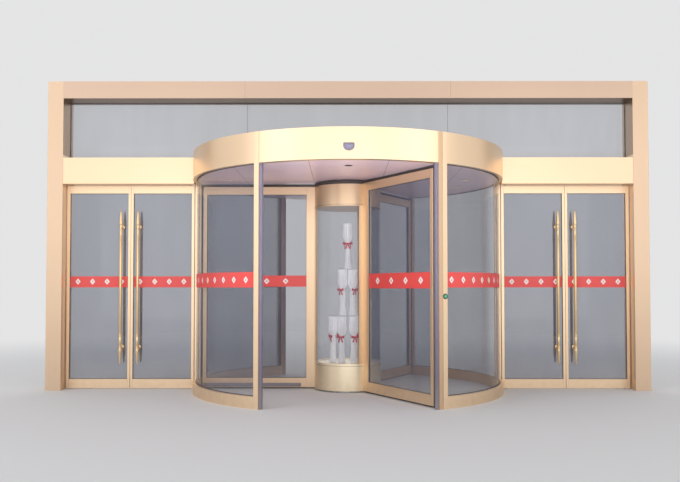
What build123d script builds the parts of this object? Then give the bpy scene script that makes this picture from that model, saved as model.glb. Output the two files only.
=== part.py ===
from build123d import *
import os
from math import asin, atan, cos, degrees, radians, sin, sqrt

# Entrance screen, all sizes in millimetres
overall_width = 7000
overall_height = 3600
frame_depth = 340
jamb_width = 180
beam_height = 200
header_setback = 5
header_bottom = 2400
header_height = 305
header_depth = frame_depth - 2 * header_setback
header_top = header_bottom + header_height
jamb_face = overall_width / 2 - jamb_width
beam_bottom = overall_height - beam_height

# Transom glass and the channel that carries it
transom_y = 85
transom_glass_thickness = 12
transom_joint = 1200
pane_gap = 3
sill_width = 40
sill_height = 35
sill_web = 8
groove_depth = 12
groove_play = 0.3

# Drum wall, canopy and ceiling
drum_radius = 1800
wall_depth = 67
canopy_thickness = 75
canopy_lift = 20
canopy_rise = 26
ceiling_thickness = 20
roof_thickness = 15
glass_setback = 50
curved_glass_thickness = 12
curved_groove_depth = 15
base_rail_setback = 5
base_rail_height = 120
seat_gap = 0.2
wall_inner_radius = drum_radius - wall_depth
canopy_inner_radius = drum_radius - canopy_thickness
curved_glass_radius = drum_radius - glass_setback
base_rail_outer_radius = drum_radius - base_rail_setback
canopy_bottom = header_bottom + canopy_lift
canopy_top = header_top + canopy_rise

# Openings and the posts beside them
opening_half_angle = 29.4
post_angle = 1.85
cover_strip_depth = 6
switch_strip_depth = 3
switch_strip_angle = 1.75
switch_strip_overlap = 0.45
safety_edge_angle = 0.75
safety_edge_setback = 10
safety_edge_depth = 45
safety_edge_floor_gap = 3
mullion_width = 40
mullion_web = 10
mullion_slot_angle = 2
post_edge_chamfer = 2
front_direction = -90
rear_direction = 90
post_outer_radius = drum_radius + cover_strip_depth
switch_strip_radius = post_outer_radius + switch_strip_depth
safety_edge_outer_radius = drum_radius - safety_edge_setback
safety_edge_inner_radius = safety_edge_outer_radius - safety_edge_depth

# Small fittings on the drum
fitting_sides = 24
light_radius = 50
light_inset = 425
light_angle = 12.8
light_drop = 4
ceiling_sensor_radius = 40
ceiling_sensor_inset = 410
entry_sensor_width = 111
entry_sensor_height = 77
entry_sensor_rim_depth = 24
entry_sensor_cap_depth = 16
entry_sensor_rim_taper = 14
entry_sensor_cap_taper = 50
entry_sensor_sides = 16
entry_sensor_lift = 114
button_height = 1104
button_plate_radius = 27
button_plate_depth = 6
button_radius = 17
button_depth = 7
light_circle_radius = drum_radius - light_inset
ceiling_sensor_reach = drum_radius - ceiling_sensor_inset
entry_sensor_level = canopy_bottom + entry_sensor_lift

# Central column of the rotor
column_radius = 388
column_floor_gap = 20
column_base_height = 308
column_head_height = 250
column_ceiling_gap = 50
column_glass_setback = 4
column_glass_thickness = 8
column_groove_depth = 10
column_post_depth = 27
column_post_width = 146
column_rim_width = 48
column_rim_depth = 6
column_brush_setback = 1
column_brush_thickness = 30
column_brush_sides = 60
shaft_radius = 40
bearing_setback = 40
bearing_height = 14
spindle_radius = 60
spindle_height = 110
bearing_play = 0.1
column_base_top = column_floor_gap + column_base_height
column_head_top = canopy_bottom - column_ceiling_gap
column_head_bottom = column_head_top - column_head_height
column_glass_outer = column_radius - column_glass_setback
column_brush_outer = column_radius - column_brush_setback

# Wings of the rotor
wing_angles = (180, 300, 60)
wing_wall_gap = 28
wing_bottom = 22
wing_ceiling_gap = 42
wing_thickness = 45
wing_outer_stile = 44
wing_inner_stile = 98
wing_head_rail = 90
wing_bottom_rail = 107
wing_glass_thickness = 10
wing_chamfer = 2
rebate_depth = 8
brush_thickness = 12
brush_clearance = 6
brush_light_clearance = 5
brush_column_gap = 1
bumper_bottom = 30
bumper_top = 73
bumper_depth = 12
bumper_inner_inset = 63
bumper_outer_inset = 12
wing_outer_radius = wall_inner_radius - wing_wall_gap
wing_top = canopy_bottom - wing_ceiling_gap
brush_tip_radius = wall_inner_radius - brush_clearance
brush_top = canopy_bottom - light_drop - brush_light_clearance

# Side door leaves
leaf_gap = 6
leaf_end_gap = 10
leaf_thickness = 45
leaf_heel_stile = 35
leaf_meeting_stile = 27
leaf_top_rail = 88
leaf_bottom_rail = 106
leaf_glass_thickness = 10
pivot_setback = 60
pivot_pin_radius = 10
pivot_pin_depth = 30
pivot_pin_sides = 16
pivot_play = 0.1
leaf_top = header_bottom - leaf_end_gap
leaf_opening = jamb_face - drum_radius
leaf_width = (leaf_opening - 3 * leaf_gap) / 2
leaf_toe = leaf_width - pivot_setback

# Pull handles
handle_from_meeting = 100
handle_bottom = 300
handle_headroom = 293
handle_radius = 16
handle_standoff = 82
handle_cap_height = 140
handle_cap_radius = 20
handle_tip_radius = 9
handle_collar_height = 16
handle_collar_taper = 6
handle_sides = 12
handle_fixing_inset = 194
fixing_radius = 9
rosette_radius = 24
rosette_depth = 7
handle_top = leaf_top - handle_headroom

# Display inside the column: three tiers of tied sheaves with a round shelf between two tiers
display_headroom = 173
display_tiers = 3
shelf_thickness = 8
lower_tier_count = 8
lower_tier_radius = 185
lower_shelf_radius = 235
middle_tier_count = 4
middle_tier_radius = 84
upper_shelf_radius = 116
sheaf_sides = 10
sheaf_foot_radius = 42
sheaf_stem_radius = 31
sheaf_neck_radius = 24
sheaf_shoulder_radius = 55
sheaf_lip_radius = 50
sheaf_stem_share = 0.24
sheaf_neck_share = 0.55
sheaf_shoulder_share = 0.70


def arc_band(inner, outer, start, sweep):
    # Flat band between two radii about the drum's axis
    with BuildLine() as outline:
        outside = CenterArc((0, 0), outer, start, sweep)
        inside = CenterArc((0, 0), inner, start, sweep)
        Line(outside @ 0, inside @ 0)
        Line(outside @ 1, inside @ 1)
    make_face(outline.edges())


def tapered_stack(sections, sides, place):
    # Many-sided form built up between the widths at its levels
    for (low_radius, low), (high_radius, high) in zip(sections, sections[1:]):
        with BuildSketch(Plane.XY.offset(low)) as section:
            with Locations(place):
                RegularPolygon(low_radius, sides)
        inset = (low_radius - high_radius) * cos(radians(180 / sides))
        extrude(section.sketch, amount=high - low, taper=degrees(atan(inset / (high - low))))


def save(piece, name):
    # One labelled solid file for each named piece
    piece.label = name
    export_step(piece, f"parts/{name}.step")


os.makedirs("parts", exist_ok=True)

# Angles of the side walls, measured from the sideways axis
wall_half_angle = 90 - opening_half_angle - post_angle
seam_half_angle = wall_half_angle + post_angle / 2
glass_half = curved_glass_thickness / 2
curved_slot_inner = curved_glass_radius - glass_half - groove_play
curved_slot_outer = curved_glass_radius + glass_half + groove_play
post_groove_angle = degrees(asin(groove_depth / curved_glass_radius))
web_angle = degrees(asin((mullion_web / 2 + groove_play) / curved_glass_radius))
transom_slot = transom_glass_thickness + 2 * groove_play
wing_turns = [Location((0, 0, 0), (0, 0, angle)) for angle in wing_angles]

# Jambs with a slot for the transom glass
with BuildPart() as jambs:
    with BuildSketch(Plane.XY) as jamb_plan:
        with Locations((jamb_face + jamb_width / 2, 0)):
            Rectangle(jamb_width, frame_depth)
    extrude(amount=overall_height)
    chamfer(jambs.edges().filter_by(Axis.Z), length=post_edge_chamfer)
    with BuildSketch(Plane.XY.offset(header_top)) as jamb_slot:
        with Locations((jamb_face, transom_y)):
            Rectangle(2 * groove_depth, transom_slot)
    extrude(amount=beam_bottom + groove_depth - header_top, mode=Mode.SUBTRACT)
    mirror(about=Plane.YZ)
save(jambs.part, "jambs")

# Head beam between the jambs, slotted along its underside
with BuildPart() as head_beam:
    with BuildSketch(Plane.YZ.offset(-jamb_face)) as beam_section:
        with Locations((0, beam_bottom + beam_height / 2)):
            Rectangle(frame_depth, beam_height)
        with Locations((transom_y, beam_bottom)):
            Rectangle(transom_slot, 2 * groove_depth, mode=Mode.SUBTRACT)
    extrude(amount=2 * jamb_face)
save(head_beam.part, "head_beam")

# Headers over the side doors, scooped to meet the round canopy
with BuildPart() as side_headers:
    with BuildSketch(Plane.XY.offset(header_bottom)) as header_plan:
        with Locations(((jamb_face + canopy_inner_radius) / 2, 0)):
            Rectangle(jamb_face - canopy_inner_radius, header_depth)
        Circle(drum_radius + seat_gap, mode=Mode.SUBTRACT)
    extrude(amount=header_top - header_bottom)
    mirror(about=Plane.YZ)
save(side_headers.part, "side_headers")

# Channel under the transom glass, in three lengths broken by the canopy wall
sill_inner_end = sqrt(canopy_inner_radius**2 - (transom_y + sill_width / 2) ** 2) - seat_gap
with BuildPart() as transom_sills:
    with BuildSketch(Plane.XY.offset(header_top)) as sill_plan:
        with Locations((0, transom_y)):
            Rectangle(2 * jamb_face, sill_width)
        Circle(drum_radius + seat_gap, mode=Mode.SUBTRACT)
        with Locations((0, transom_y)):
            Rectangle(2 * sill_inner_end, sill_width)
    extrude(amount=sill_height)
    with BuildSketch(Plane.XY.offset(header_top + sill_web)) as sill_slot:
        with Locations((0, transom_y)):
            Rectangle(2 * jamb_face, transom_slot)
    extrude(amount=sill_height, mode=Mode.SUBTRACT)
save(transom_sills.part, "transom_sills")

# Transom glass in three panes, the outer two notched over the canopy wall
pane_bottom = header_top + sill_web + groove_play
pane_top = beam_bottom + groove_depth - groove_play
pane_end = jamb_face + groove_depth - groove_play
with BuildPart() as transom_glass:
    with BuildSketch(Plane.XZ.offset(-transom_y - transom_glass_thickness / 2)) as pane_face:
        with Locations((0, (pane_bottom + pane_top) / 2)):
            Rectangle(2 * pane_end, pane_top - pane_bottom)
        with Locations((-transom_joint, pane_top), (transom_joint, pane_top)):
            Rectangle(pane_gap, 2 * (pane_top - pane_bottom), mode=Mode.SUBTRACT)
        notch_middle = (canopy_inner_radius + drum_radius) / 2
        notch_width = drum_radius - canopy_inner_radius + 4 * pane_gap
        with Locations((-notch_middle, pane_bottom), (notch_middle, pane_bottom)):
            Rectangle(notch_width, 2 * (canopy_top + pane_gap - pane_bottom), mode=Mode.SUBTRACT)
    extrude(amount=transom_glass_thickness)
save(transom_glass.part, "transom_glass")

# Canopy wall over each side, slotted below for the curved glass
with BuildPart() as canopy_sides:
    with BuildSketch(Plane.XY.offset(canopy_bottom)) as side_plan:
        arc_band(canopy_inner_radius, drum_radius, -seam_half_angle, 2 * seam_half_angle)
    extrude(amount=canopy_top - canopy_bottom)
    with BuildSketch(Plane.XY.offset(canopy_bottom)) as side_slot:
        slot_half_angle = wall_half_angle + post_groove_angle
        arc_band(curved_slot_inner, curved_slot_outer, -slot_half_angle, 2 * slot_half_angle)
    extrude(amount=curved_groove_depth, mode=Mode.SUBTRACT)
    mirror(about=Plane.YZ)
save(canopy_sides.part, "canopy_sides")

# Canopy wall over the front opening
end_sweep = 180 - 2 * seam_half_angle - 2 * degrees(asin(seat_gap / drum_radius))
with BuildPart() as canopy_front:
    with BuildSketch(Plane.XY.offset(canopy_bottom)) as front_plan:
        arc_band(canopy_inner_radius, drum_radius, front_direction - end_sweep / 2, end_sweep)
    extrude(amount=canopy_top - canopy_bottom)
save(canopy_front.part, "canopy_front")

# Canopy wall over the rear opening
with BuildPart() as canopy_rear:
    with BuildSketch(Plane.XY.offset(canopy_bottom)) as rear_plan:
        arc_band(canopy_inner_radius, drum_radius, rear_direction - end_sweep / 2, end_sweep)
    extrude(amount=canopy_top - canopy_bottom)
save(canopy_rear.part, "canopy_rear")

# Roof plate inside the canopy wall
with BuildPart() as canopy_roof:
    with BuildSketch(Plane.XY.offset(header_top - roof_thickness)):
        Circle(canopy_inner_radius - seat_gap)
    extrude(amount=roof_thickness)
save(canopy_roof.part, "canopy_roof")

# Ceiling plate with the shaft hole
with BuildPart() as drum_ceiling:
    with BuildSketch(Plane.XY.offset(canopy_bottom)) as ceiling_plan:
        Circle(canopy_inner_radius - seat_gap)
        Circle(shaft_radius + bearing_play, mode=Mode.SUBTRACT)
    extrude(amount=ceiling_thickness)
save(drum_ceiling.part, "drum_ceiling")

# Round ceiling lights on the underside of the ceiling
with BuildPart() as ceiling_lights:
    with BuildSketch(Plane.XY.offset(canopy_bottom - light_drop)):
        with PolarLocations(light_circle_radius, 2, start_angle=light_angle):
            RegularPolygon(light_radius, fitting_sides)
        with PolarLocations(light_circle_radius, 2, start_angle=-light_angle):
            RegularPolygon(light_radius, fitting_sides)
    extrude(amount=light_drop)
save(ceiling_lights.part, "ceiling_lights")

# Domed entry sensors on the canopy and flat ones under the ceiling
dome_turns = [radians(360 * corner / entry_sensor_sides) for corner in range(entry_sensor_sides)]
dome_outline = [
    (entry_sensor_width / 2 * cos(turn), entry_sensor_level + entry_sensor_height / 2 * sin(turn))
    for turn in dome_turns
]
with BuildPart() as sensors:
    with BuildSketch(Plane.XZ.offset(drum_radius + seat_gap)):
        Polygon(*dome_outline, align=None)
    extrude(amount=entry_sensor_rim_depth, taper=entry_sensor_rim_taper)
    dome_shoulder = sensors.faces().sort_by(Axis.Y)[0]
    extrude(dome_shoulder, amount=entry_sensor_cap_depth, taper=entry_sensor_cap_taper)
    mirror(about=Plane.XZ)
    with BuildSketch(Plane.XY.offset(canopy_bottom - light_drop)):
        with Locations((0, -ceiling_sensor_reach), (0, ceiling_sensor_reach)):
            RegularPolygon(ceiling_sensor_radius, fitting_sides)
    extrude(amount=light_drop)
save(sensors.part, "sensors")

# Posts beside the front opening, with a cover strip up the canopy and a slot for the glass.
# The right post has a wider strip over the wall's edge that carries the push button.
switch_strip_start = -wall_half_angle - switch_strip_overlap
with BuildPart() as front_posts:
    with BuildSketch(Plane.XY) as post_plan:
        arc_band(wall_inner_radius, post_outer_radius, -wall_half_angle - post_angle, post_angle)
    extrude(amount=canopy_bottom - seat_gap)
    with BuildSketch(Plane.XY.offset(canopy_bottom - seat_gap)) as cover_plan:
        arc_band(drum_radius + seat_gap, post_outer_radius, -wall_half_angle - post_angle, post_angle)
    extrude(amount=canopy_top - canopy_bottom + seat_gap)
    chamfer(
        front_posts.edges().filter_by(Axis.Z).group_by(lambda edge: edge.center().X)[-1],
        length=post_edge_chamfer,
    )
    with BuildSketch(Plane.XY.offset(base_rail_height - curved_groove_depth)) as post_slot:
        post_slot_start = -wall_half_angle - post_groove_angle
        arc_band(curved_slot_inner, curved_slot_outer, post_slot_start, 2 * post_groove_angle)
    extrude(amount=canopy_bottom, mode=Mode.SUBTRACT)
    mirror(about=Plane.YZ)
    with BuildSketch(Plane.XY) as strip_plan:
        arc_band(drum_radius + seat_gap, switch_strip_radius, switch_strip_start, switch_strip_angle)
    extrude(amount=canopy_top)
    with BuildSketch(Plane.XY.offset(base_rail_height + seat_gap)) as strip_back_plan:
        arc_band(curved_slot_outer, switch_strip_radius, switch_strip_start, switch_strip_angle)
    extrude(amount=canopy_bottom - base_rail_height - 2 * seat_gap)
save(front_posts.part, "front_posts")

# Rear posts, the same pair turned half round so that the wide post is on the other side
with BuildPart() as rear_posts:
    add(front_posts.part, rotation=(0, 0, 180))
save(rear_posts.part, "rear_posts")

# Soft safety edges on the posts, facing the openings
with BuildPart() as safety_edges:
    with BuildSketch(Plane.XY.offset(safety_edge_floor_gap)) as edge_plan:
        edge_start = -wall_half_angle - post_angle - safety_edge_angle
        edge_gap = degrees(asin(seat_gap / drum_radius))
        arc_band(safety_edge_inner_radius, safety_edge_outer_radius, edge_start, safety_edge_angle - edge_gap)
    extrude(amount=canopy_bottom - 2 * safety_edge_floor_gap)
    upright_edges = safety_edges.edges().filter_by(Axis.Z)
    free_corners = upright_edges.sort_by(lambda edge: -edge.center().X / edge.center().Y)[0:2]
    fillet(free_corners, radius=(safety_edge_outer_radius - safety_edge_inner_radius) / 3)
    mirror(about=Plane.YZ)
    mirror(about=Plane.XZ)
save(safety_edges.part, "safety_edges")

# Mullions at the middle of each curved wall, gripping two panes
with BuildPart() as mullions:
    with BuildSketch(Plane.XY.offset(base_rail_height)) as mullion_plan:
        with Locations(((wall_inner_radius + drum_radius) / 2, 0)):
            Rectangle(drum_radius - wall_inner_radius, mullion_width)
    extrude(amount=canopy_bottom - base_rail_height - seat_gap)
    chamfer(mullions.edges().filter_by(Axis.Z), length=post_edge_chamfer)
    with BuildSketch(Plane.XY.offset(base_rail_height)) as mullion_slots:
        arc_band(curved_slot_inner, curved_slot_outer, web_angle, mullion_slot_angle)
        arc_band(curved_slot_inner, curved_slot_outer, -web_angle - mullion_slot_angle, mullion_slot_angle)
    extrude(amount=canopy_bottom, mode=Mode.SUBTRACT)
    mirror(about=Plane.YZ)
save(mullions.part, "mullions")

# Curved glass of the drum wall, two panes a side
play_angle = degrees(asin(groove_play / curved_glass_radius))
glass_end = wall_half_angle + post_groove_angle - play_angle
glass_bottom = base_rail_height - curved_groove_depth + groove_play
glass_top = canopy_bottom + curved_groove_depth - groove_play
with BuildPart() as drum_glass:
    with BuildSketch(Plane.XY.offset(glass_bottom)) as curved_plan:
        arc_band(
            curved_glass_radius - glass_half,
            curved_glass_radius + glass_half,
            web_angle + play_angle,
            glass_end - web_angle - play_angle,
        )
    extrude(amount=glass_top - glass_bottom)
    mirror(about=Plane.XZ)
    mirror(about=Plane.YZ)
save(drum_glass.part, "drum_glass")

# Curved base rail under the glass
with BuildPart() as base_rails:
    with BuildSketch(Plane.XY) as rail_plan:
        rail_half_angle = wall_half_angle - degrees(asin(seat_gap / drum_radius))
        arc_band(wall_inner_radius, base_rail_outer_radius, -rail_half_angle, 2 * rail_half_angle)
    extrude(amount=base_rail_height)
    with BuildSketch(Plane.XY.offset(base_rail_height - curved_groove_depth)) as rail_slot:
        arc_band(curved_slot_inner, curved_slot_outer, -wall_half_angle, 2 * wall_half_angle)
    extrude(amount=base_rail_height, mode=Mode.SUBTRACT)
    mirror(about=Plane.YZ)
save(base_rails.part, "base_rails")

# Floor bearing under the column, with the spindle it turns on
with BuildPart() as floor_bearing:
    with BuildSketch(Plane.XY):
        Circle(column_radius - bearing_setback)
    extrude(amount=bearing_height)
    with BuildSketch(Plane.XY.offset(bearing_height)):
        Circle(spindle_radius)
    extrude(amount=spindle_height - bearing_height)
save(floor_bearing.part, "floor_bearing")

# Pivots of the side doors, in the header above and on the floor below
hinge_near = drum_radius + leaf_gap + pivot_setback
hinge_far = jamb_face - leaf_gap - pivot_setback
pin_levels = (
    (0, leaf_end_gap + pivot_pin_depth),
    (leaf_top - pivot_pin_depth, header_bottom),
)
with BuildPart() as leaf_pivots:
    for pin_bottom, pin_top in pin_levels:
        with BuildSketch(Plane.XY.offset(pin_bottom)):
            with Locations((hinge_near, 0), (hinge_far, 0)):
                RegularPolygon(pivot_pin_radius, pivot_pin_sides)
        extrude(amount=pin_top - pin_bottom)
    mirror(about=Plane.YZ)
save(leaf_pivots.part, "leaf_pivots")

# Push button on the right front post
button_angle = switch_strip_start + switch_strip_angle / 2
with BuildPart() as push_button:
    with BuildSketch(Plane.YZ.offset(switch_strip_radius + seat_gap)):
        with Locations((0, button_height)):
            RegularPolygon(button_plate_radius, fitting_sides)
    extrude(amount=button_plate_depth)
    with BuildSketch(Plane.YZ.offset(switch_strip_radius + seat_gap + button_plate_depth)):
        with Locations((0, button_height)):
            RegularPolygon(button_radius, fitting_sides)
    extrude(amount=button_depth)
    chamfer(push_button.faces().sort_by(Axis.X)[-1].edges(), length=button_depth / 3)
push_button.part.locate(Location((0, 0, 0), (0, 0, button_angle)))
save(push_button.part, "push_button")

# Column base with its bearing bore, floor recess and glass groove
column_slot_inner = column_glass_outer - column_glass_thickness - groove_play
column_slot_width = column_glass_thickness + 2 * groove_play
column_slot_middle = column_slot_inner + column_slot_width / 2
with BuildPart() as column_base:
    with BuildSketch(Plane.XZ) as base_section:
        with Locations((column_radius / 2, (column_floor_gap + column_base_top) / 2)):
            Rectangle(column_radius, column_base_height)
        with Locations((column_slot_middle, column_base_top)):
            Rectangle(column_slot_width, 2 * column_groove_depth, mode=Mode.SUBTRACT)
        with Locations((0, column_base_top)):
            recess_width = 2 * (column_radius - column_rim_width)
            Rectangle(recess_width, 2 * column_rim_depth, mode=Mode.SUBTRACT)
        with Locations((0, column_floor_gap)):
            bore_depth = spindle_height + seat_gap - column_floor_gap
            Rectangle(2 * (spindle_radius + bearing_play), 2 * bore_depth, mode=Mode.SUBTRACT)
    revolve(axis=Axis.Z)
save(column_base.part, "column_base")

# Column head with a matching groove
with BuildPart() as column_head:
    with BuildSketch(Plane.XZ) as head_section:
        with Locations((column_radius / 2, (column_head_bottom + column_head_top) / 2)):
            Rectangle(column_radius, column_head_height)
        with Locations((column_slot_middle, column_head_bottom)):
            Rectangle(column_slot_width, 2 * column_groove_depth, mode=Mode.SUBTRACT)
    revolve(axis=Axis.Z)
save(column_head.part, "column_head")

# Shaft from the column head up through the ceiling
with BuildPart() as rotor_shaft:
    with BuildSketch(Plane.XY.offset(column_head_top + seat_gap)):
        RegularPolygon(shaft_radius, fitting_sides)
    extrude(amount=canopy_bottom + 2 * ceiling_thickness - column_head_top - seat_gap)
save(rotor_shaft.part, "rotor_shaft")

# Brush ring that closes the gap between the column head and the ceiling
with BuildPart() as column_brush:
    with BuildSketch(Plane.XY.offset(column_head_top + seat_gap)):
        RegularPolygon(column_brush_outer, column_brush_sides)
        RegularPolygon(column_brush_outer - column_brush_thickness, column_brush_sides, mode=Mode.SUBTRACT)
    extrude(amount=brush_top - column_head_top - seat_gap)
save(column_brush.part, "column_brush")

# Column posts behind each wing, slotted for the curved glass
post_half_angle = degrees(asin(column_post_width / 2 / column_radius))
tongue_angle = degrees(asin(column_groove_depth / column_glass_outer))
column_play_angle = degrees(asin(groove_play / column_radius))
column_post_height = column_head_bottom - column_base_top - 2 * seat_gap
with BuildPart() as column_post:
    with BuildSketch(Plane.XY.offset(column_base_top + seat_gap)) as column_post_plan:
        arc_band(column_radius - column_post_depth, column_radius, -post_half_angle, 2 * post_half_angle)
    extrude(amount=column_post_height)
    with BuildSketch(Plane.XY.offset(column_base_top + seat_gap)) as column_post_slots:
        slot_reach = column_slot_inner + column_slot_width
        arc_band(column_slot_inner, slot_reach, post_half_angle - tongue_angle, 2 * tongue_angle)
        arc_band(column_slot_inner, slot_reach, -post_half_angle - tongue_angle, 2 * tongue_angle)
    extrude(amount=column_post_height, mode=Mode.SUBTRACT)
with BuildPart() as column_posts:
    with Locations(*wing_turns):
        add(column_post.part)
save(column_posts.part, "column_posts")

# Curved glass of the column, one pane between each two posts
column_pane_start = post_half_angle - tongue_angle + column_play_angle
column_pane_bottom = column_base_top - column_groove_depth + groove_play
column_pane_top = column_head_bottom + column_groove_depth - groove_play
with BuildPart() as column_pane:
    with BuildSketch(Plane.XY.offset(column_pane_bottom)) as column_pane_plan:
        arc_band(
            column_glass_outer - column_glass_thickness,
            column_glass_outer,
            column_pane_start,
            360 / len(wing_angles) - 2 * column_pane_start,
        )
    extrude(amount=column_pane_top - column_pane_bottom)
with BuildPart() as column_glass:
    with Locations(*wing_turns):
        add(column_pane.part)
save(column_glass.part, "column_glass")

# Display inside the column: a ring of faceted sheaves, a smaller ring above and one on top
display_floor = column_base_top - column_rim_depth + seat_gap
display_height = column_head_bottom - display_headroom - display_floor
shelf_seat = shelf_thickness + 2 * seat_gap
sheaf_height = (display_height - (display_tiers - 1) * shelf_seat) / display_tiers
tier_rise = sheaf_height + shelf_seat
with BuildPart() as sheaf:
    for number in range(sheaf_sides // 2):
        turn = radians(number * 360 / sheaf_sides)
        facing = Plane((0, 0, 0), x_dir=(cos(turn), sin(turn), 0), z_dir=(sin(turn), -cos(turn), 0))
        with BuildSketch(facing.offset(-column_radius)) as sheaf_outline:
            with BuildLine() as sheaf_edge:
                Polyline(
                    (0, display_floor),
                    (sheaf_foot_radius, display_floor),
                    (sheaf_stem_radius, display_floor + sheaf_stem_share * sheaf_height),
                    (sheaf_neck_radius, display_floor + sheaf_neck_share * sheaf_height),
                    (sheaf_shoulder_radius, display_floor + sheaf_shoulder_share * sheaf_height),
                    (sheaf_lip_radius, display_floor + sheaf_height),
                    (0, display_floor + sheaf_height),
                )
                mirror(about=Plane.YZ)
            make_face()
        extrude(amount=2 * column_radius, mode=Mode.INTERSECT if number else Mode.ADD)
with BuildPart() as lower_tier:
    with PolarLocations(lower_tier_radius, lower_tier_count, start_angle=180 / lower_tier_count):
        add(sheaf.part)
with BuildPart() as middle_tier:
    with PolarLocations(middle_tier_radius, middle_tier_count, start_angle=180 / middle_tier_count):
        add(sheaf.part)
lower_shelf_level = display_floor + sheaf_height + seat_gap
with BuildPart() as display:
    add(lower_tier.part)
    with BuildSketch(Plane.XY.offset(lower_shelf_level)) as lower_shelf:
        RegularPolygon(lower_shelf_radius, fitting_sides)
    extrude(amount=shelf_thickness)
    with Locations((0, 0, tier_rise)):
        add(middle_tier.part)
    with BuildSketch(Plane.XY.offset(lower_shelf_level + tier_rise)) as upper_shelf:
        RegularPolygon(upper_shelf_radius, fitting_sides)
    extrude(amount=shelf_thickness)
    with Locations((0, 0, 2 * tier_rise)):
        add(sheaf.part)
save(display.part, "display")

# Wing of the rotor, made along the sideways axis and then turned into its three places
window_inner = column_radius + wing_inner_stile
window_outer = wing_outer_radius - wing_outer_stile
window_bottom = wing_bottom + wing_bottom_rail
window_top = wing_top - wing_head_rail
window_middle = ((window_inner + window_outer) / 2, (window_bottom + window_top) / 2)
window_width = window_outer - window_inner
window_height = window_top - window_bottom
with BuildPart() as wing_frame:
    with BuildSketch(Plane.XZ.offset(-wing_thickness / 2)) as wing_face:
        with Locations((wing_outer_radius / 2, (wing_bottom + wing_top) / 2)):
            Rectangle(wing_outer_radius, wing_top - wing_bottom)
        with Locations(window_middle):
            Rectangle(window_width, window_height, mode=Mode.SUBTRACT)
    extrude(amount=wing_thickness)
    outer_edges = wing_frame.edges().filter_by(Axis.Z).group_by(lambda edge: edge.center().X)[-1]
    chamfer(outer_edges, length=wing_chamfer)
    rebate_reach = rebate_depth + groove_play
    with BuildSketch(Plane.XZ.offset(-wing_glass_thickness / 2 - groove_play)) as wing_rebate:
        with Locations(window_middle):
            Rectangle(window_width + 2 * rebate_reach, window_height + 2 * rebate_reach)
    extrude(amount=wing_glass_thickness + 2 * groove_play, mode=Mode.SUBTRACT)
    with BuildSketch(Plane.XY) as column_scoop:
        Circle(column_radius + seat_gap)
    extrude(amount=overall_height, mode=Mode.SUBTRACT)
for number, turn in enumerate(wing_turns, start=1):
    with BuildPart() as placed_wing_frame:
        with Locations(turn):
            add(wing_frame.part)
    save(placed_wing_frame.part, f"wing_{number}_frame")

with BuildPart() as wing_pane:
    with BuildSketch(Plane.XZ.offset(-wing_glass_thickness / 2)) as wing_pane_face:
        with Locations(window_middle):
            Rectangle(window_width + 2 * rebate_depth, window_height + 2 * rebate_depth)
    extrude(amount=wing_glass_thickness)
with BuildPart() as wing_glass:
    with Locations(*wing_turns):
        add(wing_pane.part)
save(wing_glass.part, "wing_glass")

# Brush round three sides of a wing, and the bumper strip on its leading face
with BuildPart() as wing_seal:
    with BuildSketch(Plane.XZ.offset(-brush_thickness / 2)) as brush_face:
        brush_start = column_radius + brush_column_gap
        with Locations(((brush_start + brush_tip_radius) / 2, (brush_clearance + brush_top) / 2)):
            Rectangle(brush_tip_radius - brush_start, brush_top - brush_clearance)
        with Locations((wing_outer_radius / 2, (wing_bottom + wing_top) / 2)):
            frame_height = wing_top - wing_bottom + 2 * seat_gap
            Rectangle(wing_outer_radius + 2 * seat_gap, frame_height, mode=Mode.SUBTRACT)
    extrude(amount=brush_thickness)
    with BuildSketch(Plane.XZ.offset(-wing_thickness / 2 - seat_gap - bumper_depth)) as bumper_face:
        bumper_start = window_inner + bumper_inner_inset
        bumper_end = wing_outer_radius - bumper_outer_inset
        with Locations(((bumper_start + bumper_end) / 2, (bumper_bottom + bumper_top) / 2)):
            RectangleRounded(bumper_end - bumper_start, bumper_top - bumper_bottom, bumper_depth / 2)
    extrude(amount=bumper_depth)
with BuildPart() as wing_seals:
    with Locations(*wing_turns):
        add(wing_seal.part)
save(wing_seals.part, "wing_seals")

# Side door leaf, made about its pivot with the toe along the sideways axis
leaf_window_start = leaf_heel_stile - pivot_setback
leaf_window_end = leaf_toe - leaf_meeting_stile
leaf_window_bottom = leaf_end_gap + leaf_bottom_rail
leaf_window_top = leaf_top - leaf_top_rail
leaf_window_middle = (
    (leaf_window_start + leaf_window_end) / 2,
    (leaf_window_bottom + leaf_window_top) / 2,
)
leaf_window_width = leaf_window_end - leaf_window_start
leaf_window_height = leaf_window_top - leaf_window_bottom
with BuildPart() as leaf_frame:
    with BuildSketch(Plane.XY.offset(leaf_end_gap)) as leaf_plan:
        Circle(pivot_setback)
        Rectangle(2 * pivot_setback, leaf_thickness, mode=Mode.INTERSECT)
        with Locations((leaf_toe / 2, 0)):
            Rectangle(leaf_toe, leaf_thickness)
    extrude(amount=leaf_top - leaf_end_gap)
    with BuildSketch(Plane.XZ.offset(-leaf_thickness)) as leaf_window:
        with Locations(leaf_window_middle):
            Rectangle(leaf_window_width, leaf_window_height)
    extrude(amount=2 * leaf_thickness, mode=Mode.SUBTRACT)
    with BuildSketch(Plane.XZ.offset(-leaf_glass_thickness / 2 - groove_play)) as leaf_rebate:
        with Locations(leaf_window_middle):
            Rectangle(leaf_window_width + 2 * rebate_reach, leaf_window_height + 2 * rebate_reach)
    extrude(amount=leaf_glass_thickness + 2 * groove_play, mode=Mode.SUBTRACT)
    for socket_bottom in (leaf_end_gap - seat_gap, leaf_top - pivot_pin_depth - seat_gap):
        with BuildSketch(Plane.XY.offset(socket_bottom)):
            Circle(pivot_pin_radius + pivot_play)
        extrude(amount=pivot_pin_depth + 2 * seat_gap, mode=Mode.SUBTRACT)

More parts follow.
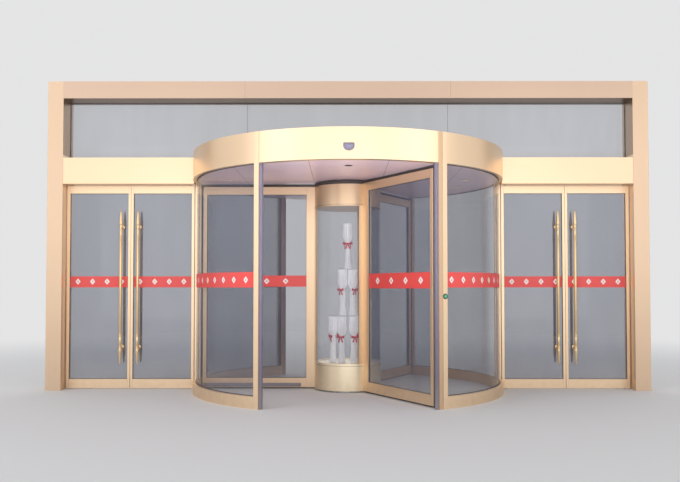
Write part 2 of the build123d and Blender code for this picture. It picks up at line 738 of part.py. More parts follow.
with BuildPart() as leaf_glass:
    with BuildSketch(Plane.XZ.offset(-leaf_glass_thickness / 2)) as leaf_pane_face:
        with Locations(leaf_window_middle):
            Rectangle(leaf_window_width + 2 * rebate_depth, leaf_window_height + 2 * rebate_depth)
    extrude(amount=leaf_glass_thickness)

# Pull handle: a many-sided bar with tapered caps, on two fixings through the glass
cap_foot = handle_bottom + handle_cap_height
cap_head = handle_top - handle_cap_height
bar_sections = [
    (handle_tip_radius, handle_bottom),
    (handle_cap_radius, cap_foot - handle_collar_height),
    (handle_cap_radius, cap_foot),
    (handle_radius, cap_foot + handle_collar_taper),
    (handle_radius, cap_head - handle_collar_taper),
    (handle_cap_radius, cap_head),
    (handle_cap_radius, cap_head + handle_collar_height),
    (handle_tip_radius, handle_top),
]
handle_x = leaf_toe + leaf_gap / 2 - handle_from_meeting
fixing_places = (
    (handle_x, handle_bottom + handle_fixing_inset),
    (handle_x, handle_top - handle_fixing_inset),
)
with BuildPart() as leaf_handles:
    tapered_stack(bar_sections, handle_sides, (handle_x, -handle_standoff))
    with BuildSketch(Plane.XZ.offset(leaf_glass_thickness / 2 + seat_gap)):
        with Locations(*fixing_places):
            RegularPolygon(rosette_radius, handle_sides)
    extrude(amount=rosette_depth)
    with BuildSketch(Plane.XZ.offset(leaf_glass_thickness / 2 + seat_gap)):
        with Locations(*fixing_places):
            RegularPolygon(fixing_radius, handle_sides)
    extrude(amount=handle_standoff - leaf_glass_thickness / 2 - seat_gap)
    mirror(about=Plane.XZ)

# The four leaves, each turned to face its meeting line
leaf_places = {
    "outer_left_leaf": Location((-hinge_far, 0, 0)),
    "inner_left_leaf": Location((-hinge_near, 0, 0), (0, 0, 180)),
    "inner_right_leaf": Location((hinge_near, 0, 0)),
    "outer_right_leaf": Location((hinge_far, 0, 0), (0, 0, 180)),
}
for leaf_name, place in leaf_places.items():
    for suffix, source in (("frame", leaf_frame), ("glass", leaf_glass), ("handles", leaf_handles)):
        with BuildPart() as placed_leaf_piece:
            with Locations(place):
                add(source.part)
        save(placed_leaf_piece.part, f"{leaf_name}_{suffix}")
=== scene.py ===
import logging
from dataclasses import dataclass
from enum import Enum
from math import ceil, cos, pi, radians, sin, sqrt, tau
from typing import Sequence, Union

import bpy
from mathutils import Matrix, Vector


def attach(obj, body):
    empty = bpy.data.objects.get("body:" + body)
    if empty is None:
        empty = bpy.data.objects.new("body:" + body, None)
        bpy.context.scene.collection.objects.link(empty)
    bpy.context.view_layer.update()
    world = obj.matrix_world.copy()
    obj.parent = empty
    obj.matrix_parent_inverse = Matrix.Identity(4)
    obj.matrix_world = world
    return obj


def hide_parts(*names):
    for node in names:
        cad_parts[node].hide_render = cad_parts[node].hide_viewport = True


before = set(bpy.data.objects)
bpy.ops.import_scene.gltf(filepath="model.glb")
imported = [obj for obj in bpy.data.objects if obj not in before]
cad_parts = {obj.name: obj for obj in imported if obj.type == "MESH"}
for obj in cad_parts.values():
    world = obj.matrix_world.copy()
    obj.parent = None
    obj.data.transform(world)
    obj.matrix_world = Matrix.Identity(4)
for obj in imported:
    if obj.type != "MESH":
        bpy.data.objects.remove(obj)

LOG = logging.getLogger("revolving_door")
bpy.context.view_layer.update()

Colour = tuple[float, float, float]
Pair = tuple[float, float]
Outline = Sequence[Pair]
Number = Union["Signal", float]
NO_TURN = Matrix.Identity(4)
BOTH_SIDES = (-1.0, 1.0)


class Grain(Enum):
    """Direction of the fine brush lines on anodised metal, as counts per metre."""

    UPRIGHT = (260.0, 260.0, 3.0)
    LEVEL = (3.0, 3.0, 260.0)


class Street(Enum):
    """Side of a leaf's own frame that looks to the street."""

    NEAR = -1.0
    FAR = 1.0


# Shader maths


class Signal:
    """Value carried by a shader socket, for use in Python sums."""

    def __init__(self, graph: "ShaderGraph", socket: bpy.types.NodeSocket) -> None:
        """Keeps the graph and the output socket."""
        self.graph = graph
        self.socket = socket

    def math(self, operation: str, *terms: Number) -> "Signal":
        """Adds one Math node that starts with this value."""
        operands = dict(enumerate((self, *terms)))
        return self.graph.node("ShaderNodeMath", {"operation": operation}, operands)

    def __add__(self, other: Number) -> "Signal":
        """Sum."""
        return self.math("ADD", other)

    __radd__ = __add__

    def __sub__(self, other: Number) -> "Signal":
        """Difference."""
        return self.math("SUBTRACT", other)

    def __rsub__(self, other: float) -> "Signal":
        """Difference taken from a number."""
        return self.graph.node("ShaderNodeMath", {"operation": "SUBTRACT"}, {0: other, 1: self})

    def __mul__(self, other: Number) -> "Signal":
        """Product."""
        return self.math("MULTIPLY", other)

    __rmul__ = __mul__

    def __truediv__(self, other: Number) -> "Signal":
        """Quotient."""
        return self.math("DIVIDE", other)

    def size(self) -> "Signal":
        """Absolute value."""
        return self.math("ABSOLUTE")

    def power(self, exponent: float) -> "Signal":
        """Power."""
        return self.math("POWER", exponent)

    def ripple(self, pitch: float) -> "Signal":
        """Sine wave between 0 and 1 with a pitch."""
        return (self * (tau / pitch)).math("SINE") * 0.5 + 0.5

    def cell(self, pitch: float) -> "Signal":
        """Distance from the middle of the nearest cell of a repeating pitch."""
        return ((self / pitch).math("FRACT") - 0.5).size() * pitch

    def below(self, limit: Number) -> "Signal":
        """One where the value is under the limit, else zero."""
        return self.math("LESS_THAN", limit)

    def above(self, limit: Number) -> "Signal":
        """One where the value is over the limit, else zero."""
        return self.math("GREATER_THAN", limit)

    def line(self, level: float, width: float) -> "Signal":
        """One on two lines, at a level and at its mirror image."""
        return (self.size() - level).size().below(width / 2)

    def either(self, other: Number) -> "Signal":
        """Larger of the two values."""
        return self.math("MAXIMUM", other)

    def fade(self, start: float, end: float) -> "Signal":
        """Smooth change from 0 at start to 1 at end."""
        values = {"Value": self, "From Min": start, "From Max": end}
        return self.graph.node("ShaderNodeMapRange", {"interpolation_type": "SMOOTHSTEP"}, values)


class ShaderGraph:
    """Node tree of one material or world, filled through one node method."""

    def __init__(self, owner: Union[bpy.types.Material, bpy.types.World]) -> None:
        """Empties the owner's tree and keeps it.

        Args:
            owner: Material or world whose tree is filled.
        """
        owner.use_nodes = True
        self.tree = owner.node_tree
        self.tree.nodes.clear()

    def node(
        self,
        kind: str,
        settings: dict[str, object] | None = None,
        inputs: dict[Union[str, int], object] | None = None,
        output: Union[str, int] = 0,
    ) -> Signal:
        """Adds one node, sets it up and fills its sockets.

        Args:
            kind: Type of the node.
            settings: Properties that are set before the sockets.
            inputs: Values or signals by socket name or position.
            output: Name or position of the output that is wanted.

        Returns:
            The wanted output.
        """
        added = self.tree.nodes.new(kind)
        for name, value in (settings or {}).items():
            setattr(added, name, value)
        for key, value in (inputs or {}).items():
            socket = self.find(added.inputs, key)
            if isinstance(value, Signal):
                self.tree.links.new(value.socket, socket)
            elif isinstance(value, tuple) and len(value) == 3 and socket.type == "RGBA":
                socket.default_value = (*value, 1.0)
            else:
                socket.default_value = value
        return Signal(self, self.find(added.outputs, output))

    def close(self, kind: str, surface: Signal) -> None:
        """Ends the tree in an output node."""
        ending = self.tree.nodes.new(kind)
        self.tree.links.new(surface.socket, ending.inputs["Surface"])

    @staticmethod
    def find(sockets: Sequence[bpy.types.NodeSocket], key: Union[str, int]) -> bpy.types.NodeSocket:
        """Finds a live socket.

        Args:
            sockets: Sockets of one node.
            key: Its name or its position.

        Returns:
            The socket.
        """
        if isinstance(key, int):
            return sockets[key]
        return next(socket for socket in sockets if socket.name == key and socket.enabled)

    def place(self) -> Signal:
        """Position in the part's own frame, in metres."""
        return self.node("ShaderNodeTexCoord", output="Object")

    def unrolled(self) -> Signal:
        """Position along and across a strip, in metres."""
        return self.node("ShaderNodeTexCoord", output="UV")

    def parts(self, vector: Signal) -> tuple[Signal, Signal, Signal]:
        """Splits a vector into its three values."""
        split = self.node("ShaderNodeSeparateXYZ", inputs={0: vector}).socket.node
        return tuple(Signal(self, socket) for socket in split.outputs)

    def axes(self) -> tuple[Signal, Signal, Signal]:
        """Place to the east, to the north and upwards, in metres."""
        return self.parts(self.place())

    def from_axis(self) -> Signal:
        """Distance from the drum's axis, in metres."""
        east, north, _ = self.axes()
        return (east * east + north * north).power(0.5)

    def stretched(self, scale: Colour) -> Signal:
        """Position with each axis scaled."""
        values = {0: self.place(), 1: scale}
        return self.node("ShaderNodeVectorMath", {"operation": "MULTIPLY"}, values)

    def noise(self, scale: float | Colour, detail: float = 2.0, over: Signal | None = None) -> Signal:
        """Soft noise between 0 and 1.

        Args:
            scale: Cells per metre, alike or by axis.
            detail: Levels of finer noise on top.
            over: Where it is looked up, the part's own frame unless given.

        Returns:
            The noise value.
        """
        if isinstance(scale, tuple):
            over, scale = self.stretched(scale), 1.0
        values = {"Vector": over or self.place(), "Scale": scale, "Detail": detail}
        return self.node("ShaderNodeTexNoise", inputs=values)

    def cells(self, scale: float, feature: str, over: Signal | None = None) -> Signal:
        """Distance in a pattern of irregular cells, so many to the metre."""
        values = {"Vector": over or self.place(), "Scale": scale}
        return self.node("ShaderNodeTexVoronoi", {"feature": feature}, values, "Distance")

    def coats(self, base: Colour | Signal, *coats: tuple[Number, Colour]) -> Signal:
        """Lays colours over a base colour.

        Args:
            base: Colour at the bottom.
            coats: Share from 0 to 1 and colour of each coat, in order.

        Returns:
            The mixed colour.
        """
        for share, tone in coats:
            values = {"Factor": share, "A": base, "B": tone}
            base = self.node("ShaderNodeMix", {"data_type": "RGBA"}, values, "Result")
        return base

    def surface(self, colour: Signal, rough: Number, relief: tuple = (), **others: object) -> Signal:
        """Adds the main shader.

        Args:
            colour: Base colour.
            rough: Roughness.
            relief: Height, strength and depth in metres of a height of 1, where the surface has one.
            others: Further sockets, with words joined by _ for their names.

        Returns:
            The shader.
        """
        values = {name.replace("_", " "): value for name, value in others.items()}
        values.update({"Base Color": colour, "Roughness": rough})
        if relief:
            bump = dict(zip(("Height", "Strength", "Distance"), relief))
            values["Normal"] = self.node("ShaderNodeBump", inputs=bump)
        return self.node("ShaderNodeBsdfPrincipled", inputs=values)


# Finishes


@dataclass(frozen=True)
class Finish:
    """Named finish that paints one material."""

    label: str

    def paint(self, graph: ShaderGraph) -> Signal:
        """Builds the shader in the graph and returns it."""
        raise NotImplementedError

    def material(self) -> bpy.types.Material:
        """Gives the finish's material, made on first use.

        Returns:
            The material.
        """
        known = bpy.data.materials.get(self.label)
        if known is not None:
            return known
        made = bpy.data.materials.new(self.label)
        graph = ShaderGraph(made)
        graph.close("ShaderNodeOutputMaterial", self.paint(graph))
        return made


@dataclass(frozen=True)
class AnodisedGold(Finish):
    """Champagne gold anodised profile with fine brush lines, dust low down and dark joint lines, and where
    asked painted shade on an upright strip and on the reveals of the opening.
    """

    grain: Grain = Grain.UPRIGHT
    bright: Colour = (0.90, 0.68, 0.46)
    deep: Colour = (0.82, 0.59, 0.385)
    joints_x: tuple[float, ...] = ()
    joint_width: float = 0.0016
    joint: Colour = (0.16, 0.11, 0.06)
    dust: Colour = (0.46, 0.37, 0.27)
    dust_top: float = 0.22
    # Painted shade: a narrow upright strip, picked by its angle about the axis, is darkened to this tone.
    has_strip_shade: bool = False
    strip_shade_tone: Colour = (0.60, 0.42, 0.27)
    strip_shade_place: Pair = (0.580, 0.0165)
    # Painted shade: the jamb reveals and the beam's underside inside the opening are darkened to a deep
    # brown.
    has_reveal_shade: bool = False
    reveal_shade_box: tuple[float, float, float] = (3.3206, 2.7394, 3.4006)
    reveal_shade_tone: Colour = (0.21, 0.135, 0.08)
    reveal_shade_amount: float = 0.88

    def paint(self, graph: ShaderGraph) -> Signal:
        """Builds the brushed metal.

        Args:
            graph: Tree of the material.

        Returns:
            The shader.
        """
        east, north, height = graph.axes()
        brush = graph.noise(self.grain.value, 3.0)
        dust = height.fade(self.dust_top, 0.0) * graph.noise(17.0, 4.0)
        drift = graph.noise(0.8)
        coats = [(drift * 0.6 + brush * 0.3, self.deep), (dust * 0.5, self.dust)]
        raised = brush * 0.25
        for level in self.joints_x:
            line = east.line(level, self.joint_width)
            coats.append((line, self.joint))
            raised = raised - line
        # Painted shade on the post's upright strip.
        if self.has_strip_shade:
            slope, half = self.strip_shade_place
            coats.append(((east / north + slope).size().below(half), self.strip_shade_tone))
        # Painted shade on the reveals and on the underside of the beam.
        if self.has_reveal_shade:
            half, low, high = self.reveal_shade_box
            inside = east.size().below(half) * height.below(high) * height.above(low)
            coats.append((inside * self.reveal_shade_amount, self.reveal_shade_tone))
        rough = brush * 0.12 + 0.27 + dust * 0.25
        return graph.surface(graph.coats(self.bright, *coats), rough, (raised, 0.35, 0.0004), Metallic=0.8)


@dataclass(frozen=True)
class PolishedGold(Finish):
    """Lacquered brass of the turned handles, a little dulled where hands hold it."""

    bright: Colour = (0.84, 0.60, 0.32)
    dulled: Colour = (0.66, 0.46, 0.23)
    hand_height: float = 1.15

    def paint(self, graph: ShaderGraph) -> Signal:
        """Builds the polished metal.

        Args:
            graph: Tree of the material.

        Returns:
            The shader.
        """
        _, _, height = graph.axes()
        held = (height - self.hand_height).size().fade(0.45, 0.05)
        smears = graph.noise((40.0, 40.0, 9.0), 3.0)
        colour = graph.coats(self.bright, (held * smears * 0.8, self.dulled))
        rough = smears * 0.10 + held * 0.08 + 0.24
        return graph.surface(colour, rough, (graph.noise(300.0), 0.05, 0.0001), Metallic=0.75)


@dataclass(frozen=True)
class ClearPane(Finish):
    """Tinted safety glass with faint smears, seen through from both sides."""

    tint: Colour = (0.115, 0.13, 0.19)
    body: float = 0.24
    rear_body: float = 0.0
    dust: Colour = (0.55, 0.53, 0.50)
    wiped: Colour = (6.0, 6.0, 1.5)

    def paint(self, graph: ShaderGraph) -> Signal:
        """Builds the thin glass.

        Args:
            graph: Tree of the material.

        Returns:
            The shader.
        """
        _, north, height = graph.axes()
        smears = graph.noise(self.wiped, 4.0)
        dust = height.fade(0.5, 0.1) * smears
        edge = graph.node("ShaderNodeLayerWeight", inputs={"Blend": 0.35}, output="Facing")
        colour = graph.coats(self.tint, (dust * 0.6, self.dust))
        share = edge.power(3.0) * 0.45 + smears * 0.05 + dust * 0.08 + (self.body - 0.02)
        if self.rear_body:
            share = share + north.fade(0.1, 0.5) * self.rear_body
        return graph.surface(colour, smears * 0.05 + 0.03, Alpha=share, IOR=1.5)


@dataclass(frozen=True)
class WarningFilm(Finish):
    """Red glazing film with plain white lozenges along its middle, after a plain margin at the start."""

    pitch: float = 0.172
    lozenge: Pair = (0.030, 0.036)
    middle: float = 1.260
    red: Colour = (0.80, 0.085, 0.075)
    worn: Colour = (0.62, 0.05, 0.06)
    white: Colour = (0.86, 0.86, 0.84)

    def paint(self, graph: ShaderGraph) -> Signal:
        """Builds the printed film.

        Args:
            graph: Tree of the material.

        Returns:
            The shader.
        """
        strip = graph.unrolled()
        along, across, _ = graph.parts(strip)
        length, height = self.lozenge
        reach = along.cell(self.pitch) / length + (across - self.middle).size() / height
        marks = (reach - 0.72).size().below(0.28).either(reach.below(0.2)) * along.above(0.0)
        wear = graph.noise(60.0, 4.0, strip)
        colour = graph.coats(self.red, (wear * 0.35, self.worn), (marks, self.white))
        return graph.surface(colour, wear * 0.15 + 0.24, (wear, 0.12, 0.0003), Alpha=wear * 0.04 + 0.93)


@dataclass(frozen=True)
class CeilingSheet(Finish):
    """Satin rose-grey ceiling panels with narrow joints."""

    satin: Colour = (0.90, 0.64, 0.66)
    cool: Colour = (0.80, 0.62, 0.72)
    gap: Colour = (0.10, 0.07, 0.07)
    joints_x: Pair = (0.39, 1.17)
    joint_width: float = 0.004

    def paint(self, graph: ShaderGraph) -> Signal:
        """Builds the sheet.

        Args:
            graph: Tree of the material.

        Returns:
            The shader.
        """
        east, _, _ = graph.axes()
        fine = graph.noise((3.0, 220.0, 3.0), 3.0)
        inner, outer = (east.line(level, self.joint_width) for level in self.joints_x)
        groove = inner.either(outer)
        colour = graph.coats(self.satin, (graph.noise(0.9), self.cool), (groove, self.gap))
        raised = fine * 0.15 - groove
        return graph.surface(colour, fine * 0.1 + 0.25, (raised, 0.3, 0.001), Metallic=0.15)


@dataclass(frozen=True)
class RoofSheet(Finish):
    """Dull galvanised sheet on top of the canopy, with standing dust."""

    zinc: Colour = (0.42, 0.43, 0.44)
    bloom: Colour = (0.55, 0.56, 0.57)
    dust: Colour = (0.36, 0.33, 0.30)
    seam: Colour = (0.22, 0.22, 0.22)
    seam_pitch: float = 0.6
    seam_width: float = 0.008

    def paint(self, graph: ShaderGraph) -> Signal:
        """Builds the sheet.

        Args:
            graph: Tree of the material.

        Returns:
            The shader.
        """
        east, _, _ = graph.axes()
        spangle = graph.cells(34.0, "F1")
        dust = graph.noise(3.0, 5.0)
        seam = east.cell(self.seam_pitch).above((self.seam_pitch - self.seam_width) / 2)
        coats = ((spangle * 0.5, self.bloom), (dust.fade(0.45, 0.75), self.dust), (seam, self.seam))
        raised = seam + spangle * 0.1
        colour = graph.coats(self.zinc, *coats)
        return graph.surface(colour, dust * 0.3 + 0.35, (raised, 0.4, 0.003), Metallic=0.55)


@dataclass(frozen=True)
class RibbedRubber(Finish):
    """Violet-grey rubber with fine ribs across the edge."""

    tone: Colour = (0.195, 0.17, 0.235)
    scuffed: Colour = (0.13, 0.12, 0.18)
    dust: Colour = (0.30, 0.27, 0.26)
    rib_pitch: float = 0.0075

    def paint(self, graph: ShaderGraph) -> Signal:
        """Builds the rubber.

        Args:
            graph: Tree of the material.

        Returns:
            The shader.
        """
        _, _, height = graph.axes()
        rib = graph.from_axis().ripple(self.rib_pitch)
        scuff = graph.noise((30.0, 30.0, 8.0), 4.0)
        dust = height.fade(0.4, 0.0) * scuff
        colour = graph.coats(self.tone, (scuff * 0.6, self.scuffed), (dust, self.dust))
        return graph.surface(colour, scuff * 0.2 + 0.45, (rib + scuff * 0.1, 0.5, 0.0012))


@dataclass(frozen=True)
class BrushHair(Finish):
    """Dark nylon hair of the draught brushes."""

    tone: Colour = (0.028, 0.023, 0.024)
    tip: Colour = (0.085, 0.070, 0.066)

    def paint(self, graph: ShaderGraph) -> Signal:
        """Builds the hair.

        Args:
            graph: Tree of the material.

        Returns:
            The shader.
        """
        strands = graph.noise(900.0)
        colour = graph.coats(self.tone, (strands * 0.6 + graph.noise(14.0, 3.0) * 0.3, self.tip))
        return graph.surface(colour, strands * 0.2 + 0.6, (strands, 0.6, 0.0006))


@dataclass(frozen=True)
class MouldedPlastic(Finish):
    """Fine-grained moulded plastic."""

    tone: Colour = (0.19, 0.175, 0.25)
    gloss: float = 0.35

    def paint(self, graph: ShaderGraph) -> Signal:
        """Builds the plastic.

        Args:
            graph: Tree of the material.

        Returns:
            The shader.
        """
        pores = graph.noise(1400.0)
        darker = tuple(value * 0.72 for value in self.tone)
        colour = graph.coats(self.tone, (graph.noise(9.0, 3.0) * 0.7, darker))
        return graph.surface(colour, pores * 0.12 + self.gloss, (pores, 0.25, 0.0002))


@dataclass(frozen=True)
class BearingSteel(Finish):
    """Ground steel with rings from the lathe."""

    clean: Colour = (0.46, 0.46, 0.47)
    stained: Colour = (0.26, 0.23, 0.21)
    ring_pitch: float = tau / 5200.0

    def paint(self, graph: ShaderGraph) -> Signal:
        """Builds the steel.

        Args:
            graph: Tree of the material.

        Returns:
            The shader.
        """
        stain = graph.noise(22.0, 5.0)
        colour = graph.coats(self.clean, (stain.fade(0.4, 0.8), self.stained))
        rings = graph.from_axis().ripple(self.ring_pitch)
        return graph.surface(colour, stain * 0.3 + 0.22, (rings, 0.2, 0.0001), Metallic=0.9)


@dataclass(frozen=True)
class LampLens(Finish):
    """Frosted lens with a pressed pattern, faintly lit."""

    frost: Colour = (0.92, 0.90, 0.84)
    pressed: Colour = (0.70, 0.68, 0.62)
    glow: float = 0.25

    def paint(self, graph: ShaderGraph) -> Signal:
        """Builds the lens.

        Args:
            graph: Tree of the material.

        Returns:
            The shader.
        """
        pattern = graph.cells(220.0, "F1")
        colour = graph.coats(self.frost, (pattern * 0.6, self.pressed))
        glow = {"Emission_Color": colour, "Emission_Strength": self.glow}
        return graph.surface(colour, pattern * 0.1 + 0.2, (pattern, 0.5, 0.0006), **glow)


@dataclass(frozen=True)
class LaceCloth(Finish):
    """White lace over pale gauze, with a faint painted glow."""

    thread: Colour = (0.97, 0.97, 0.99)
    hollow: Colour = (0.72, 0.72, 0.78)
    # Painted light: strength of the glow that lightens the lace.
    painted_glow: float = 0.24

    def paint(self, graph: ShaderGraph) -> Signal:
        """Builds the lace.

        Args:
            graph: Tree of the material.

        Returns:
            The shader.
        """
        motif = graph.cells(34.0, "DISTANCE_TO_EDGE", graph.stretched((1.0, 1.0, 0.6)))
        mesh = graph.cells(150.0, "DISTANCE_TO_EDGE")
        gaps = motif.fade(0.10, 0.32) * mesh.fade(0.05, 0.20)
        folds = graph.noise((60.0, 60.0, 5.0))
        # The fold noise also darkens the colour a little, as painted shade in folds.
        colour = graph.coats(self.thread, (gaps * 0.75 + folds * 0.12, self.hollow))
        # Sheen, and a painted glow in the lace's own colour.
        sheen_and_glow = {"Sheen_Weight": 0.3, "Emission_Color": colour, "Emission_Strength": self.painted_glow}
        return graph.surface(colour, folds * 0.1 + 0.75, (mesh * 2.0 + motif, 0.6, 0.0015), **sheen_and_glow)


@dataclass(frozen=True)
class SatinRibbon(Finish):
    """Red satin ribbon with a woven sheen and painted shade in folds."""

    red: Colour = (0.86, 0.05, 0.07)
    fold_shade: Colour = (0.56, 0.02, 0.04)

    def paint(self, graph: ShaderGraph) -> Signal:
        """Builds the satin.

        Args:
            graph: Tree of the material.

        Returns:
            The shader.
        """
        weave = graph.noise((900.0, 900.0, 120.0), 1.0)
        # Painted shade: random darker patches, as if in folds.
        colour = graph.coats(self.red, (graph.noise(45.0) * 0.8, self.fold_shade))
        return graph.surface(colour, weave * 0.15 + 0.32, (weave, 0.3, 0.0003), Sheen_Weight=0.4)


@dataclass(frozen=True)
class StudioFloor(Finish):
    """Pale matt floor that runs into the backdrop's tone far away."""

    tone: Colour = (0.78, 0.78, 0.78)
    grit: Colour = (0.74, 0.74, 0.75)
    far_tone: Colour = (0.78, 0.78, 0.785)
    far: Pair = (5.0, 12.0)

    def paint(self, graph: ShaderGraph) -> Signal:
        """Builds the floor.

        Args:
            graph: Tree of the material.

        Returns:
            The shader.
        """
        matt = graph.surface(graph.coats(self.tone, (graph.noise(5.0, 4.0) * 0.15, self.grit)), 0.75)
        glow = graph.node("ShaderNodeEmission", inputs={"Color": self.far_tone, "Strength": 1.0})
        shares = {0: graph.from_axis().fade(*self.far), 1: matt, 2: glow}
        return graph.node("ShaderNodeMixShader", inputs=shares)


GOLD_UPRIGHT = AnodisedGold("champagne_gold_upright")
GOLD_LEVEL = AnodisedGold("champagne_gold_level", Grain.LEVEL)
# Post gold with a painted shade strip on its inner face.
GOLD_POST = AnodisedGold("champagne_gold_post", has_strip_shade=True)
GOLD_SHADED_LEVEL = AnodisedGold("shaded_gold_level", Grain.LEVEL, (0.74, 0.55, 0.37), (0.67, 0.475, 0.31))
GOLD_LIT_LEVEL = AnodisedGold("lit_gold_level", Grain.LEVEL, (0.97, 0.84, 0.62), (0.93, 0.78, 0.56))
GOLD_SHADED_UPRIGHT = AnodisedGold(
    "shaded_gold_upright", Grain.UPRIGHT, (0.75, 0.56, 0.385), (0.68, 0.485, 0.32)
)
# Darker copies of the gold for the jambs and the head beam, with painted shade in their colours.
SHADED_GOLD_JAMB = AnodisedGold(
    "shaded_gold_jamb", Grain.UPRIGHT, (0.72, 0.53, 0.375), (0.66, 0.47, 0.32), has_reveal_shade=True
)
SHADED_GOLD_BEAM = AnodisedGold(
    "shaded_gold_beam", Grain.UPRIGHT, (0.64, 0.465, 0.355), (0.59, 0.42, 0.31), (1.2,), has_reveal_shade=True
)
BRASS = PolishedGold("turned_brass")
GLASS = ClearPane("tinted_glass")
LEAF_GLASS = ClearPane("leaf_glass_tinted", body=0.43)
WING_GLASS = ClearPane("wing_glass_tinted", body=0.33)
DRUM_GLASS = ClearPane("drum_glass_tinted", body=0.12, rear_body=0.26)
COLUMN_GLASS = ClearPane("column_glass_clear", body=0.19)
SHELF_GLASS = ClearPane("shelf_glass", (0.45, 0.50, 0.52), 0.12)
LEAF_FILM = WarningFilm("red_film")
CURVED_FILM = WarningFilm("red_film_curved", middle=1.268)
FLAT_WING_FILM = WarningFilm("red_film_flat_wing", 0.223, (0.034, 0.036), 1.2655)
WING_FILM = WarningFilm("red_film_wings", 0.2703, (0.040, 0.040), 1.264)
CEILING = CeilingSheet("ceiling_sheet")
ROOF = RoofSheet("canopy_roof_sheet")
RUBBER = RibbedRubber("safety_edge_rubber")
GASKET = MouldedPlastic("glazing_gasket", (0.120, 0.102, 0.100), 0.5)
HAIR = BrushHair("brush_hair")
SENSOR_SHELL = MouldedPlastic("sensor_shell")
BLACK_PLASTIC = MouldedPlastic("black_plastic", (0.03, 0.03, 0.035), 0.3)
GREEN_BUTTON = MouldedPlastic("green_button", (0.08, 0.42, 0.24), 0.2)
STEEL = BearingSteel("ground_steel")
LENS = LampLens("lamp_lens")
LACE = LaceCloth("white_lace")
SATIN = SatinRibbon("red_satin")
# Dark strips for the joints with their painted shadow, and for the painted shadow lines round the column.
JOINT_SHADOW_LINE = MouldedPlastic("joint_shadow", (0.10, 0.07, 0.045), 0.6)


# Meshes


